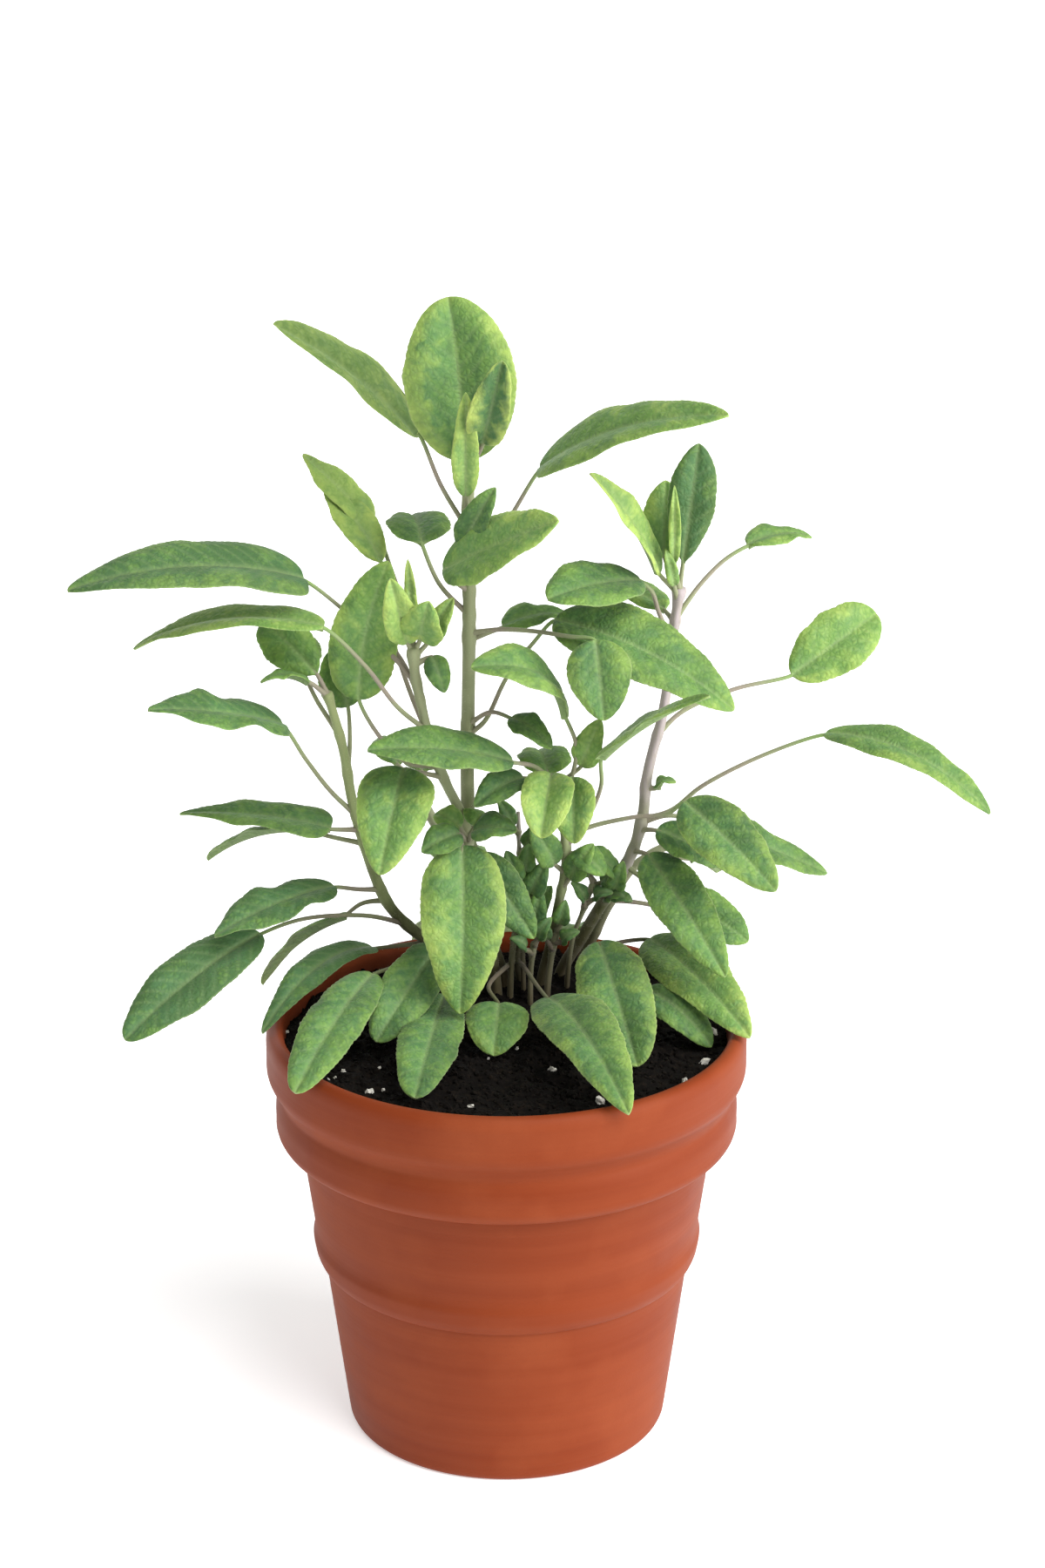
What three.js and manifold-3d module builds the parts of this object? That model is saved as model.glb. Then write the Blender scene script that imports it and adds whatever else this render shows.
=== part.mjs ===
// A young common sage in a terracotta-coloured pot: the pot, the potting mix that fills it, and
// ten leafy shoots, each one piece with its leaf stalks and blades. Millimetres, +Z up, origin
// on the ground under the middle of the pot. The front of the plant looks along -Y.

import * as THREE from "three";
import { mergeVertices } from "three/addons/utils/BufferGeometryUtils.js";
import Module from "manifold-3d";

const wasm = await Module();
wasm.setup();

// Pot: a 14 cm rim over a tapering wall. A drop is measured down from the top of the lip.
const POT_HEIGHT = 126;
const RIM_RADIUS = 70.1;
const MOUTH_RADIUS = 65;
const LIP_HEIGHT = 4.5;
const LIP_FOOT_DROP = 13;
const GROOVE_RADIUS = 66.6;
const GROOVE_DROP = 20.5;
const BAND_RADIUS = 67.6;
const BAND_TOP_DROP = 23.5;
const BAND_FOOT_DROP = 35;
const WALL_RADIUS = 60.6;
const STEP_RADIUS = 57.3;
const STEP_DROP = 66.5;
const STEP_FOOT_DROP = 73.5;
const LOWER_WALL_RADIUS = 53.9;
const BASE_RADIUS = 47;
const BASE_ROUND = 2;
const FLOOR_THICKNESS = 8;
const POT_SEGMENTS = 36;
const DRAIN_HOLES = 4;
const DRAIN_RADIUS = 4.5;
const DRAIN_CIRCLE = 26;

// Potting mix
const SOIL_DROP = 6.3;
const SOIL_GAP = 0.35;
const MOUND_HEIGHT = 3;
const MOUND_SPREAD = 24;
const CROWN = new THREE.Vector2(8, 28);
const CRUMB_RELIEF = 0.45;
const SOIL_TOP_RINGS = [63.6, 53, 41, 29, 16, 4];

// Shoots
const ROOT_DEPTH = 24;
const STEM_SIDES = 6;
const STEM_STEP = 10;
const STRAIGHT_RISE = 2;
const HOLE_CLEARANCE = 0.9;
const HOLE_SIDES = 12;
const HOLE_OVERRUN = 6;
const STALK_RADIUS = 0.8;
const STALK_STEP = 12;
const STALK_SINK = 4;
const BLADE_THICKNESS = 0.7;
const TIP_NARROWING = 0.4;
const FOLD_ONSET = 0.2;
const RIPPLE_WAVES = 1.6;
const RIPPLE_SHIFT = 0.25;
const LONG_BLADE = 24;
const LONG_STATIONS = [0, 0.07, 0.24, 0.48, 0.73, 0.92, 1];
const SHORT_STATIONS = [0, 0.15, 0.5, 0.85, 1];

// The plant is measured from in front and 20 degrees above, so each place on it is given as
// [across, up, back]: across from the pot's axis and up from the middle of the view, as seen,
// and the real distance behind the pot's axis, which is negative in front of it.
const VIEW_TILT = THREE.MathUtils.degToRad(20);
const VIEW_DISTANCE = 1100;
const VIEW_CENTRE = new THREE.Vector3(4.7, 0, POT_HEIGHT + 73);
const EYE = new THREE.Vector3(0, -Math.cos(VIEW_TILT), Math.sin(VIEW_TILT))
  .multiplyScalar(VIEW_DISTANCE)
  .add(VIEW_CENTRE);

const TERRACOTTA = new THREE.MeshStandardMaterial({ color: "#a85538", roughness: 0.6, metalness: 0 });
const POTTING_MIX = new THREE.MeshStandardMaterial({ color: "#1f1a15", roughness: 0.95, metalness: 0 });
const SAGE_GREEN = new THREE.MeshStandardMaterial({ color: "#5c8f45", roughness: 0.7, metalness: 0 });

function seen([across, up, back]) {
  const onPlane = new THREE.Vector3(
    across,
    up * Math.sin(VIEW_TILT),
    VIEW_CENTRE.z + up * Math.cos(VIEW_TILT),
  );
  const reach = (back - EYE.y) / (onPlane.y - EYE.y);
  return EYE.clone().lerp(onPlane, reach);
}

// Joins rings of points into one closed mesh. The second half of each ring is split the other
// way from the first, so that a thin blade has the same triangles on both faces.
function loft(rings) {
  const sides = rings[0].length;
  const positions = rings.flat().flatMap((point) => point.toArray());
  const triangles = [];
  for (let ring = 0; ring + 1 < rings.length; ring += 1) {
    for (let side = 0; side < sides; side += 1) {
      const next = (side + 1) % sides;
      const a = ring * sides + side;
      const b = ring * sides + next;
      const c = a + sides;
      const d = b + sides;
      if (side < sides / 2) triangles.push(a, b, d, a, d, c);
      else triangles.push(a, b, c, b, d, c);
    }
  }
  const last = (rings.length - 1) * sides;
  for (let low = 0, high = sides - 1; high - low > 1; ) {
    const next = low < sides - 1 - high + 1 ? low + 1 : high - 1;
    triangles.push(low, high, next);
    triangles.push(last + low, last + next, last + high);
    if (next === low + 1) low = next;
    else high = next;
  }
  const geometry = new THREE.BufferGeometry();
  geometry.setAttribute("position", new THREE.Float32BufferAttribute(positions, 3));
  geometry.setIndex(triangles);
  return geometry;
}

function toSolid(geometry) {
  const bare = geometry.clone();
  bare.deleteAttribute("normal");
  bare.deleteAttribute("uv");
  const merged = mergeVertices(bare, 1e-4);
  return new wasm.Manifold(
    new wasm.Mesh({
      numProp: 3,
      vertProperties: new Float32Array(merged.attributes.position.array),
      triVerts: new Uint32Array(merged.index.array),
    }),
  );
}

function toGeometry(solid) {
  const mesh = solid.getMesh();
  const geometry = new THREE.BufferGeometry();
  geometry.setAttribute("position", new THREE.BufferAttribute(new Float32Array(mesh.vertProperties), 3));
  geometry.setIndex(new THREE.BufferAttribute(new Uint32Array(mesh.triVerts), 1));
  return geometry;
}

// A round rod along a curve, with a radius that runs evenly from its start to its end
function rod(curve, step, sides, startRadius, endRadius) {
  const steps = Math.max(2, Math.round(curve.getLength() / step));
  const frames = curve.computeFrenetFrames(steps);
  const rings = [];
  for (let i = 0; i <= steps; i += 1) {
    const centre = curve.getPointAt(i / steps);
    const radius = THREE.MathUtils.lerp(startRadius, endRadius, i / steps);
    const ring = [];
    for (let side = 0; side < sides; side += 1) {
      const turn = (2 * Math.PI * side) / sides;
      ring.push(
        centre
          .clone()
          .addScaledVector(frames.normals[i], radius * Math.cos(turn))
          .addScaledVector(frames.binormals[i], radius * Math.sin(turn)),
      );
    }
    rings.push(ring);
  }
  return loft(rings);
}

function soilHeight(x, y) {
  const away = CROWN.distanceToSquared(new THREE.Vector2(x, y));
  const mound = MOUND_HEIGHT * Math.exp(-away / (2 * MOUND_SPREAD ** 2));
  const crumbs = CRUMB_RELIEF * Math.sin(0.55 * x + 0.31 * y) * Math.cos(0.47 * y - 0.23 * x);
  return POT_HEIGHT - SOIL_DROP + mound + crumbs;
}

// The pot's inner wall from the lip down to the floor, as [radius, height]
function innerWall() {
  return [
    [MOUTH_RADIUS - 0.2, POT_HEIGHT - 4],
    [63, POT_HEIGHT - 16],
    [61, POT_HEIGHT - 24],
    [55.5, POT_HEIGHT - 37],
    [51.6, POT_HEIGHT - 68],
    [48.8, POT_HEIGHT - 75],
    [43, FLOOR_THICKNESS],
  ];
}

// The pot's outline from the middle of its base, up the outside, over the lip and down the inside
function potOutline() {
  const [lipFoot, groove, bandTop, bandFoot, step, stepFoot] = [
    LIP_FOOT_DROP, GROOVE_DROP, BAND_TOP_DROP, BAND_FOOT_DROP, STEP_DROP, STEP_FOOT_DROP,
  ].map((drop) => POT_HEIGHT - drop);
  const outline = new THREE.Path();
  outline.moveTo(0, 0);
  outline.lineTo(BASE_RADIUS - BASE_ROUND, 0);
  outline.quadraticCurveTo(BASE_RADIUS, 0, BASE_RADIUS + 0.4, BASE_ROUND + 0.5);
  outline.lineTo(LOWER_WALL_RADIUS, stepFoot - 1);
  outline.quadraticCurveTo(STEP_RADIUS - 0.5, stepFoot, STEP_RADIUS, step);
  outline.quadraticCurveTo(STEP_RADIUS - 0.6, step + 2, STEP_RADIUS - 0.4, step + 5);
  outline.lineTo(WALL_RADIUS, bandFoot);
  outline.quadraticCurveTo(BAND_RADIUS - 0.4, bandFoot + 0.4, BAND_RADIUS, bandFoot + 4.5);
  outline.lineTo(BAND_RADIUS, bandTop - 2);
  outline.quadraticCurveTo(BAND_RADIUS, bandTop, GROOVE_RADIUS, groove);
  outline.quadraticCurveTo(GROOVE_RADIUS + 0.2, groove + 2.5, RIM_RADIUS - 1, lipFoot - 2.5);
  outline.quadraticCurveTo(RIM_RADIUS, lipFoot - 1, RIM_RADIUS, lipFoot + 1);
  outline.lineTo(RIM_RADIUS, POT_HEIGHT - LIP_HEIGHT);
  outline.quadraticCurveTo(RIM_RADIUS - 0.2, POT_HEIGHT, RIM_RADIUS - 3, POT_HEIGHT);
  outline.quadraticCurveTo(MOUTH_RADIUS, POT_HEIGHT, ...innerWall()[0]);
  for (const [radius, height] of innerWall().slice(1)) outline.lineTo(radius, height);
  outline.lineTo(0, FLOOR_THICKNESS);
  return outline;
}

function potGeometry() {
  const profile = potOutline().getPoints(2);
  profile[0].x = 0;
  profile.at(-1).x = 0;
  let solid = toSolid(new THREE.LatheGeometry(profile, POT_SEGMENTS).rotateX(Math.PI / 2));
  for (let hole = 0; hole < DRAIN_HOLES; hole += 1) {
    const turn = (2 * Math.PI * (hole + 0.5)) / DRAIN_HOLES;
    const cutter = new THREE.CylinderGeometry(DRAIN_RADIUS, DRAIN_RADIUS, 3 * FLOOR_THICKNESS, 16)
      .rotateX(Math.PI / 2)
      .translate(DRAIN_CIRCLE * Math.cos(turn), DRAIN_CIRCLE * Math.sin(turn), 0);
    solid = solid.subtract(toSolid(cutter));
  }
  return toGeometry(solid);
}

function soilRing(radius, height) {
  const ring = [];
  for (let i = 0; i < POT_SEGMENTS; i += 1) {
    const turn = (2 * Math.PI * i) / POT_SEGMENTS;
    const x = radius * Math.cos(turn);
    const y = radius * Math.sin(turn);
    ring.push(new THREE.Vector3(x, y, height ?? soilHeight(x, y)));
  }
  return ring;
}

function soilGeometry(shoots) {
  const sideRings = innerWall()
    .slice(1)
    .reverse()
    .map(([radius, height]) => soilRing(radius - SOIL_GAP, height + SOIL_GAP));
  const topRings = SOIL_TOP_RINGS.map((radius) => soilRing(radius));
  let solid = toSolid(loft([...sideRings, ...topRings]));
  for (const shoot of shoots) solid = solid.subtract(toSolid(rootHole(shoot)));
  return toGeometry(solid);
}

// The stem stands straight in the mix and leans only once it is a little above it
function stemCurve(shoot) {
  const [x, y] = shoot.foot;
  const surface = soilHeight(x, y);
  return new THREE.CatmullRomCurve3([
    new THREE.Vector3(x, y, surface - ROOT_DEPTH),
    new THREE.Vector3(x, y, surface - ROOT_DEPTH / 3),
    new THREE.Vector3(x, y, surface + STRAIGHT_RISE),
    ...shoot.stem.map(seen),
  ]);
}

// A plain upright hole for the buried end of the stem
function rootHole(shoot) {
  const [x, y] = shoot.foot;
  const radius = shoot.thick + HOLE_CLEARANCE;
  const length = ROOT_DEPTH + HOLE_CLEARANCE + HOLE_OVERRUN;
  return new THREE.CylinderGeometry(radius, radius, length, HOLE_SIDES)
    .rotateX(Math.PI / 2)
    .translate(x, y, soilHeight(x, y) + HOLE_OVERRUN - length / 2);
}

// Where the stem is, between the places given for it, at a height as seen
function onStem(shoot, up) {
  const places = shoot.stem;
  const above = places.findIndex((place) => place[1] >= up);
  const upper = above < 0 ? places.length - 1 : Math.max(above, 1);
  const [from, to] = [places[upper - 1], places[upper]];
  const share = THREE.MathUtils.clamp((up - from[1]) / (to[1] - from[1]), 0, 1);
  return from.map((value, i) => THREE.MathUtils.lerp(value, to[i], share));
}

// Half the blade's width along its length. A belly over 1 puts the widest place past the middle,
// and a lower power makes both ends blunter.
function halfWidth(width, along, belly, blunt) {
  return (width / 2) * Math.sin(Math.PI * along ** belly) ** blunt;
}

// The midrib is a parabola from base to tip, lifted by arch toward the upper face and pushed
// sideways by sway. face turns the upper face from the sky (0) toward the front (90), twist
// turns it further on the way to the tip, and fold raises the margins into a trough.
function bladeMidrib(leaf) {
  const { face = 20, arch = 2, sway = 0 } = leaf;
  const base = seen(leaf.base);
  const tip = seen(leaf.tip);
  const axis = tip.clone().sub(base).normalize();
  const turn = THREE.MathUtils.degToRad(face);
  const up = new THREE.Vector3(0, -Math.sin(turn), Math.cos(turn));
  up.addScaledVector(axis, -up.dot(axis)).normalize();
  const side = axis.clone().cross(up);
  const control = base.clone().add(tip).multiplyScalar(0.5);
  control.addScaledVector(up, 2 * arch).addScaledVector(side, 2 * sway);
  return { curve: new THREE.QuadraticBezierCurve3(base, control, tip), up };
}

// A ring round the midrib: the upper face from left to right, then the lower face back again
function leafRing(centre, normal, side, half, lifts, edgeThickness, ribThickness) {
  const at = (sign, lift, thickness) =>
    centre
      .clone()
      .addScaledVector(side, sign * half)
      .addScaledVector(normal, lift + thickness / 2);
  return [
    at(-1, lifts[0], edgeThickness),
    at(0, 0, ribThickness),
    at(1, lifts[1], edgeThickness),
    at(1, lifts[1], -edgeThickness),
    at(0, 0, -ribThickness),
    at(-1, lifts[0], -edgeThickness),
  ];
}

function bladeRings(leaf, curve, up) {
  const { width, twist = 0, fold = 10, ripple = 0.7, belly = 0.72, blunt = 0.6 } = leaf;
  const stations = curve.getLength() > LONG_BLADE ? LONG_STATIONS : SHORT_STATIONS;
  const lift = THREE.MathUtils.degToRad(fold);
  return stations.map((along) => {
    const forward = curve.getTangent(along);
    const normal = up.clone().addScaledVector(forward, -up.dot(forward)).normalize();
    normal.applyAxisAngle(forward, THREE.MathUtils.degToRad(twist * along));
    const side = forward.clone().cross(normal);
    const narrowest = STALK_RADIUS * (1 - TIP_NARROWING * along);
    const half = Math.max(halfWidth(width, along, belly, blunt), narrowest);
    const wave = ripple * Math.sin(Math.PI * along);
    const folded = half * Math.sin(lift) * along ** FOLD_ONSET;
    const lifts = [-RIPPLE_SHIFT, RIPPLE_SHIFT].map(
      (shift) => folded + wave * Math.sin(2 * Math.PI * (RIPPLE_WAVES * along + shift)),
    );
    const rib = THREE.MathUtils.lerp(2 * STALK_RADIUS, BLADE_THICKNESS, along ** 0.5);
    const reach = half * Math.cos(lift);
    return leafRing(curve.getPoint(along), normal, side, reach, lifts, BLADE_THICKNESS, rib);
  });
}

// The stalk's rings keep the blade's upper face up on the way back from its base to the stem
function stalkRings(shoot, leaf, curve, up) {
  const route = [onStem(shoot, leaf.node), ...(leaf.via ?? [])].map(seen);
  const inside = curve.getPointAt(STALK_SINK / curve.getLength());
  const path = new THREE.CatmullRomCurve3([...route, curve.getPoint(0), inside]);
  const end = route.length / (route.length + 1);
  const steps = Math.max(1, Math.round((path.getLength() - STALK_SINK) / STALK_STEP));
  const rings = [];
  let normal = up.clone();
  for (let i = steps - 1; i >= 0; i -= 1) {
    const along = (end * i) / steps;
    const forward = path.getTangent(along);
    normal = normal.addScaledVector(forward, -normal.dot(forward)).normalize();
    const side = forward.clone().cross(normal);
    const radius = STALK_RADIUS * THREE.MathUtils.lerp(1.2, 1, i / steps);
    rings.unshift(leafRing(path.getPoint(along), normal, side, radius, [0, 0], radius, 2 * radius));
  }
  return rings;
}

function leafGeometry(shoot, leaf) {
  const { curve, up } = bladeMidrib(leaf);
  return loft([...stalkRings(shoot, leaf, curve, up), ...bladeRings(leaf, curve, up)]);
}

function shootGeometry(shoot) {
  let solid = toSolid(rod(stemCurve(shoot), STEM_STEP, STEM_SIDES, shoot.thick, shoot.thin));
  for (const leaf of shoot.leaves) {
    solid = solid.add(toSolid(leafGeometry(shoot, leaf)));
  }
  return toGeometry(solid);
}

// Each shoot has a foot in the mix at [x, y], a stem from there up, its radius at the foot and
// at the top, and its leaves. A leaf starts at a node on the stem, given by how high it is seen.
const SHOOTS = [
  {
    name: "shoot_main",
    foot: [-1, 31],
    thick: 2.1,
    thin: 1.6,
    stem: [
      [-6, -40, 28], [-10, -22, 26], [-11, 0, 24], [-10.8, 20, 22], [-10.5, 42, 20],
      [-10.5, 60, 18], [-10.8, 80, 16], [-10.5, 99, 14],
    ],
    leaves: [
      {
        node: 88, base: [-12, 92, 17], tip: [-16.5, 138.8, 24],
        width: 32, face: 70, sway: 0.9, belly: 0.95, blunt: 0.48,
      },
      {
        node: 90, via: [[-8.5, 93, 12]], base: [-6.5, 97, 10], tip: [-1, 120.5, 5],
        width: 14, face: 75, fold: 35, blunt: 0.5,
      },
      { node: 78, base: [-11.5, 82, 12], tip: [-11.5, 111.5, 8], width: 8.5, face: 60, fold: 25 },
      {
        node: 72, via: [[-18.5, 85, 18]], base: [-24.5, 100, 20], tip: [-66.2, 131.3, 44],
        width: 23, face: -47, arch: 3,
      },
      {
        node: 64, via: [[-2, 71.5, 18]], base: [9.5, 90, 18], tip: [63.5, 105, -8],
        width: 23, face: 24, arch: 5.3, belly: 0.62,
      },
      {
        node: 55, via: [[-15, 58, 14]], base: [-18, 61, 11], tip: [15, 75, -6],
        width: 21, face: 40, arch: 1,
      },
      { node: 62, base: [-12.5, 67, 13], tip: [-3, 84.5, 9], width: 10, face: 55, fold: 25 },
      { node: 48, via: [[-19, 57, 19]], base: [-24, 69, 21], tip: [-27, 76.5, 46], width: 19, face: 0 },
      { node: 41, base: [-1, 45, 22], tip: [18, 48, 28], width: 14, face: 8 },
      {
        node: 14, via: [[-6, 18, 20], [0, 30, 18], [8, 40.5, 14]], base: [14, 47, 11], tip: [65, 21, -5],
        width: 24, face: 33, arch: 6,
      },
      {
        node: 43, via: [[-2, 44, 16], [8, 43.5, 8], [18, 42, 0]],
        base: [25.5, 41, -4], tip: [28, 18, -13],
        width: 18, face: 62,
      },
      { node: 17, via: [[-4, 20.5, 16]], base: [1.5, 19, 13], tip: [13, 10, 3], width: 9, face: 28 },
      { node: 97, base: [-12, 106, 24], tip: [-13, 119, 52], width: 22, face: 10 },
    ],
  },
  {
    name: "shoot_second",
    foot: [-3, 22],
    thick: 1.7,
    thin: 1.2,
    stem: [
      [-5, -42, 22], [-9, -20, 20], [-13, -8, 18], [-17, 0, 16], [-21, 10, 14], [-24, 22, 12],
      [-26, 32, 11], [-26.5, 39, 10],
    ],
    leaves: [
      { node: 37, base: [-28, 40, 9], tip: [-33, 58.5, 2], width: 11, face: 65, fold: 20 },
      { node: 37, base: [-24.5, 41, 9], tip: [-22, 52, 0], width: 13, face: 60 },
      { node: 36, base: [-22.5, 40, 11], tip: [-15, 53, 8], width: 8, face: 60, fold: 20 },
      { node: 38, base: [-26.5, 45, 13], tip: [-28, 64, 15], width: 4, face: 60, fold: 20 },
      { node: 34, base: [-21, 36.5, 12], tip: [-17.5, 26, 6], width: 7.5, face: 60 },
      {
        node: 2, via: [[-26, 3.5, 10]], base: [-29, 4.5, 5], tip: [-36, -26, -16],
        width: 22, face: 45, arch: 4, belly: 0.6,
      },
      {
        node: 5, via: [[-28, 6, 16], [-36, 13.5, 17]], base: [-42, 24, 18], tip: [-33.5, 63.5, 21],
        width: 20, face: 70, sway: -2,
      },
      {
        node: 28, via: [[-31, 35, 15], [-40, 44, 23]], base: [-57.5, 58.5, 21], tip: [-125, 55, -4],
        width: 27, face: 18, arch: 6, belly: 0.5, blunt: 0.55,
      },
      {
        node: 15, via: [[-31, 22, 8], [-40, 33.5, 8]], base: [-52, 45, 7], tip: [-106, 38.5, 22],
        width: 19, face: 5, arch: 5.5, blunt: 0.5,
      },
      {
        node: 12, via: [[-28, 28, 22], [-34, 48, 29]], base: [-35.5, 63.5, 31], tip: [-51.5, 84, 44],
        width: 12, face: 35, twist: 15, sway: 0.5, belly: 0.9,
      },
      {
        node: 30, via: [[-27.5, 44, 20], [-33, 62, 34]], base: [-38, 75, 39], tip: [-57.8, 94, 50],
        width: 11, face: 35, twist: 20, sway: -1,
      },
      { node: 24, via: [[-29, 34, 18]], base: [-34, 42, 26], tip: [-38, 51, 62], width: 18, face: 10 },
    ],
  },
  {
    name: "shoot_left",
    foot: [-8, 36],
    thick: 2,
    thin: 1.2,
    stem: [
      [-14, -50, 32], [-26, -42, 28], [-33, -35, 26], [-37, -27, 24], [-41, -15, 22], [-44, -4, 20],
      [-46, 8, 18], [-48, 16, 17], [-51, 26, 16],
    ],
    leaves: [
      {
        node: 25, base: [-54, 31.5, 16], tip: [-69, 46.5, 30],
        width: 15, face: 60, belly: 1.1, blunt: 0.5,
      },
      { node: 25, base: [-56, 29.5, 13], tip: [-70, 29, 8], width: 6, face: 0 },
      { node: 3, via: [[-44.5, 12, 20]], base: [-45, 22, 23], tip: [-50, 38, 28], width: 13, face: 60 },
      {
        node: -9, via: [[-50, -2, 19], [-57, 7, 17]], base: [-63.5, 17, 15], tip: [-102, 21, -10],
        width: 22, face: 15, arch: 1.6, ripple: 1.6, belly: 0.55,
      },
      {
        node: -13, base: [-50, -12.5, 18], tip: [-93, -8.5, 28],
        width: 19, face: 10, arch: 2, twist: 10, belly: 0.5,
      },
      {
        node: -17, via: [[-50, -15, 25]], base: [-60, -12, 27], tip: [-85, -21.5, 43],
        width: 14, face: -10, arch: 2.4,
      },
      {
        node: -30, via: [[-42, -30, 21]], base: [-49, -29, 19], tip: [-83, -43.5, -6],
        width: 18, face: 12, arch: 2.2, ripple: 1.6, belly: 0.75,
      },
      {
        node: -40, via: [[-40, -37.5, 20], [-58, -38.5, 14]],
        base: [-70, -42.5, 10], tip: [-108.5, -73, -22],
        width: 20, face: 28, arch: 3.6, belly: 0.9, blunt: 0.5,
      },
      {
        node: -33, via: [[-41, -34, 27]], base: [-46, -37, 29], tip: [-69.5, -57, 46],
        width: 12, face: -6, arch: 3,
      },
      {
        node: -45, via: [[-30, -46, 29]], base: [-38, -46.5, 28], tip: [-69.5, -71, -16],
        width: 13, face: 12, arch: 8, belly: 0.65,
      },
      { node: 14, via: [[-54, 24, 22]], base: [-58, 33, 29], tip: [-62, 41, 60], width: 15, face: 10 },
    ],
  },
  {
    name: "shoot_right",
    foot: [16, 36],
    thick: 1.9,
    thin: 1.2,
    stem: [
      [22, -43, 33], [28, -33, 30], [33, -25, 28], [36.5, -18, 27], [39, -9, 26], [40, 1, 25],
      [42, 10, 24], [44, 17, 23], [46, 28, 22], [48, 45, 21], [49.5, 56, 20],
    ],
    leaves: [
      {
        node: 40, via: [[43.5, 49, 19], [41.5, 55, 16]], base: [38.5, 58, 14], tip: [12, 52.5, -5],
        width: 21, face: 25, belly: 0.95, blunt: 0.5,
      },
      {
        node: -10, via: [[47, -7.5, 24], [56, -0.5, 22], [74, 8.5, 20]],
        base: [91, 14.5, 17], tip: [138, -8.5, -8],
        width: 16, face: 12, arch: 7,
      },
      {
        node: 14, via: [[50, 20.5, 25], [65, 27, 27]], base: [81.5, 31, 29], tip: [105.5, 48.5, 42],
        width: 19, face: 65, belly: 1.1, blunt: 0.42,
      },
      {
        node: 47, via: [[55.5, 57, 23], [62.5, 64, 25]], base: [69, 68.3, 26], tip: [87, 70.3, 37],
        width: 13, face: 8,
      },
      { node: 54, base: [44, 60, 16], tip: [24, 88.5, 1], width: 12, face: 30, fold: 25 },
      { node: 55, base: [45, 65, 19], tip: [45.5, 86.5, 24], width: 14, face: 70 },
      { node: 55, base: [50.5, 63, 17], tip: [55, 97, 14], width: 14, face: 72, belly: 1.25 },
      { node: 55, base: [48, 63, 14], tip: [48, 85, 10], width: 4, face: 60, fold: 25 },
      { node: 52, base: [48, 56.5, 16], tip: [45.5, 67, 12], width: 4, face: 60 },
      { node: -19, base: [40.5, -20, 20], tip: [62.5, -55, -11], width: 17, face: 50, arch: 3 },
      {
        node: -23, via: [[39, -27, 26]], base: [46, -31, 26], tip: [69, -45, 16],
        width: 15, face: 40, belly: 1,
      },
      {
        node: -11, via: [[46, -9, 25]], base: [54, -10, 27], tip: [91.5, -25.5, 40],
        width: 16, face: 25, arch: 0.5,
      },
      { node: -13, base: [43, -13, 21], tip: [61.5, -23.5, 17], width: 13, face: 32 },
      { node: -1, base: [42.5, -1, 24], tip: [48.5, 0.5, 20], width: 4, face: 30 },
      { node: -30, base: [31, -31, 27], tip: [33.5, -22, 23], width: 6, face: 50 },
      { node: -33, base: [28, -33, 28], tip: [35.5, -33, 23], width: 5, face: 30 },
      { node: -28, base: [32, -26, 27], tip: [21, -19, 23], width: 9, face: 35 },
      { node: 30, base: [46, 34, 28], tip: [42, 40, 66], width: 18, face: 10 },
      { node: 46, base: [45, 50, 26], tip: [26, 57, 52], width: 13, face: 10 },
    ],
  },
  {
    name: "shoot_centre_right",
    foot: [10, 28],
    thick: 1.5,
    thin: 1.1,
    stem: [
      [12.5, -46, 26], [15, -34, 22], [17, -23, 18], [16.5, -13, 14], [14, -4, 11], [13, 1, 10],
    ],
    leaves: [
      {
        node: -3, base: [13, 3, 6], tip: [10, -15.5, -9],
        width: 17, face: 42, fold: 28, belly: 0.7, blunt: 0.5,
      },
      { node: -5, base: [19, 2, 5], tip: [19.5, -17, -3], width: 14, face: 55, fold: 24, twist: 20 },
      { node: 0, base: [12, 3, 11], tip: [9, 9.5, 30], width: 16, face: 0 },
      { node: 0, base: [5, 2, 8], tip: [-9, -6.5, 0], width: 11, face: 35, fold: 20 },
      {
        node: 1, via: [[8, 5, 7]], base: [2, 6.5, 3], tip: [-39.5, 9.5, -10],
        width: 20, face: 20, arch: 2.5, belly: 0.8,
      },
      {
        node: -6, via: [[19, 3, 9], [20, 11, 7]], base: [17.5, 19, 4], tip: [-10, 33, -10],
        width: 20, face: 20, arch: 8, belly: 1.2,
      },
      { node: -1, via: [[19, 3, 10]], base: [21.5, 5, 9], tip: [27, 18.5, 7], width: 9, face: 50 },
      {
        node: -18, via: [[22, -12, 13], [27, -1, 8]], base: [27, 8, 2], tip: [58, 25, -23],
        width: 15, face: 12, belly: 0.6,
      },
      {
        node: -17, via: [[22, -13, 19], [36, -9.5, 18], [46, -8.5, 16]],
        base: [51, -5, 13], tip: [77, -30.5, -10],
        width: 19, face: 45,
      },
      { node: -20, base: [20, -19.5, 16], tip: [28, -26, 12], width: 9, face: 40 },
      { node: -25, base: [14, -23, 15], tip: [7, -12, 10], width: 9, face: 55 },
      { node: -30, base: [18, -27, 17], tip: [25, -17, 13], width: 8, face: 55 },
    ],
  },
  {
    name: "shoot_front",
    foot: [-12, 13],
    thick: 1.6,
    thin: 1.2,
    stem: [[-13, -50, 13], [-13, -35, 12], [-12, -24, 11], [-11, -16, 10]],
    leaves: [
      {
        node: -20, base: [-12.5, -17.5, 5], tip: [-13, -65.5, -16],
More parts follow.
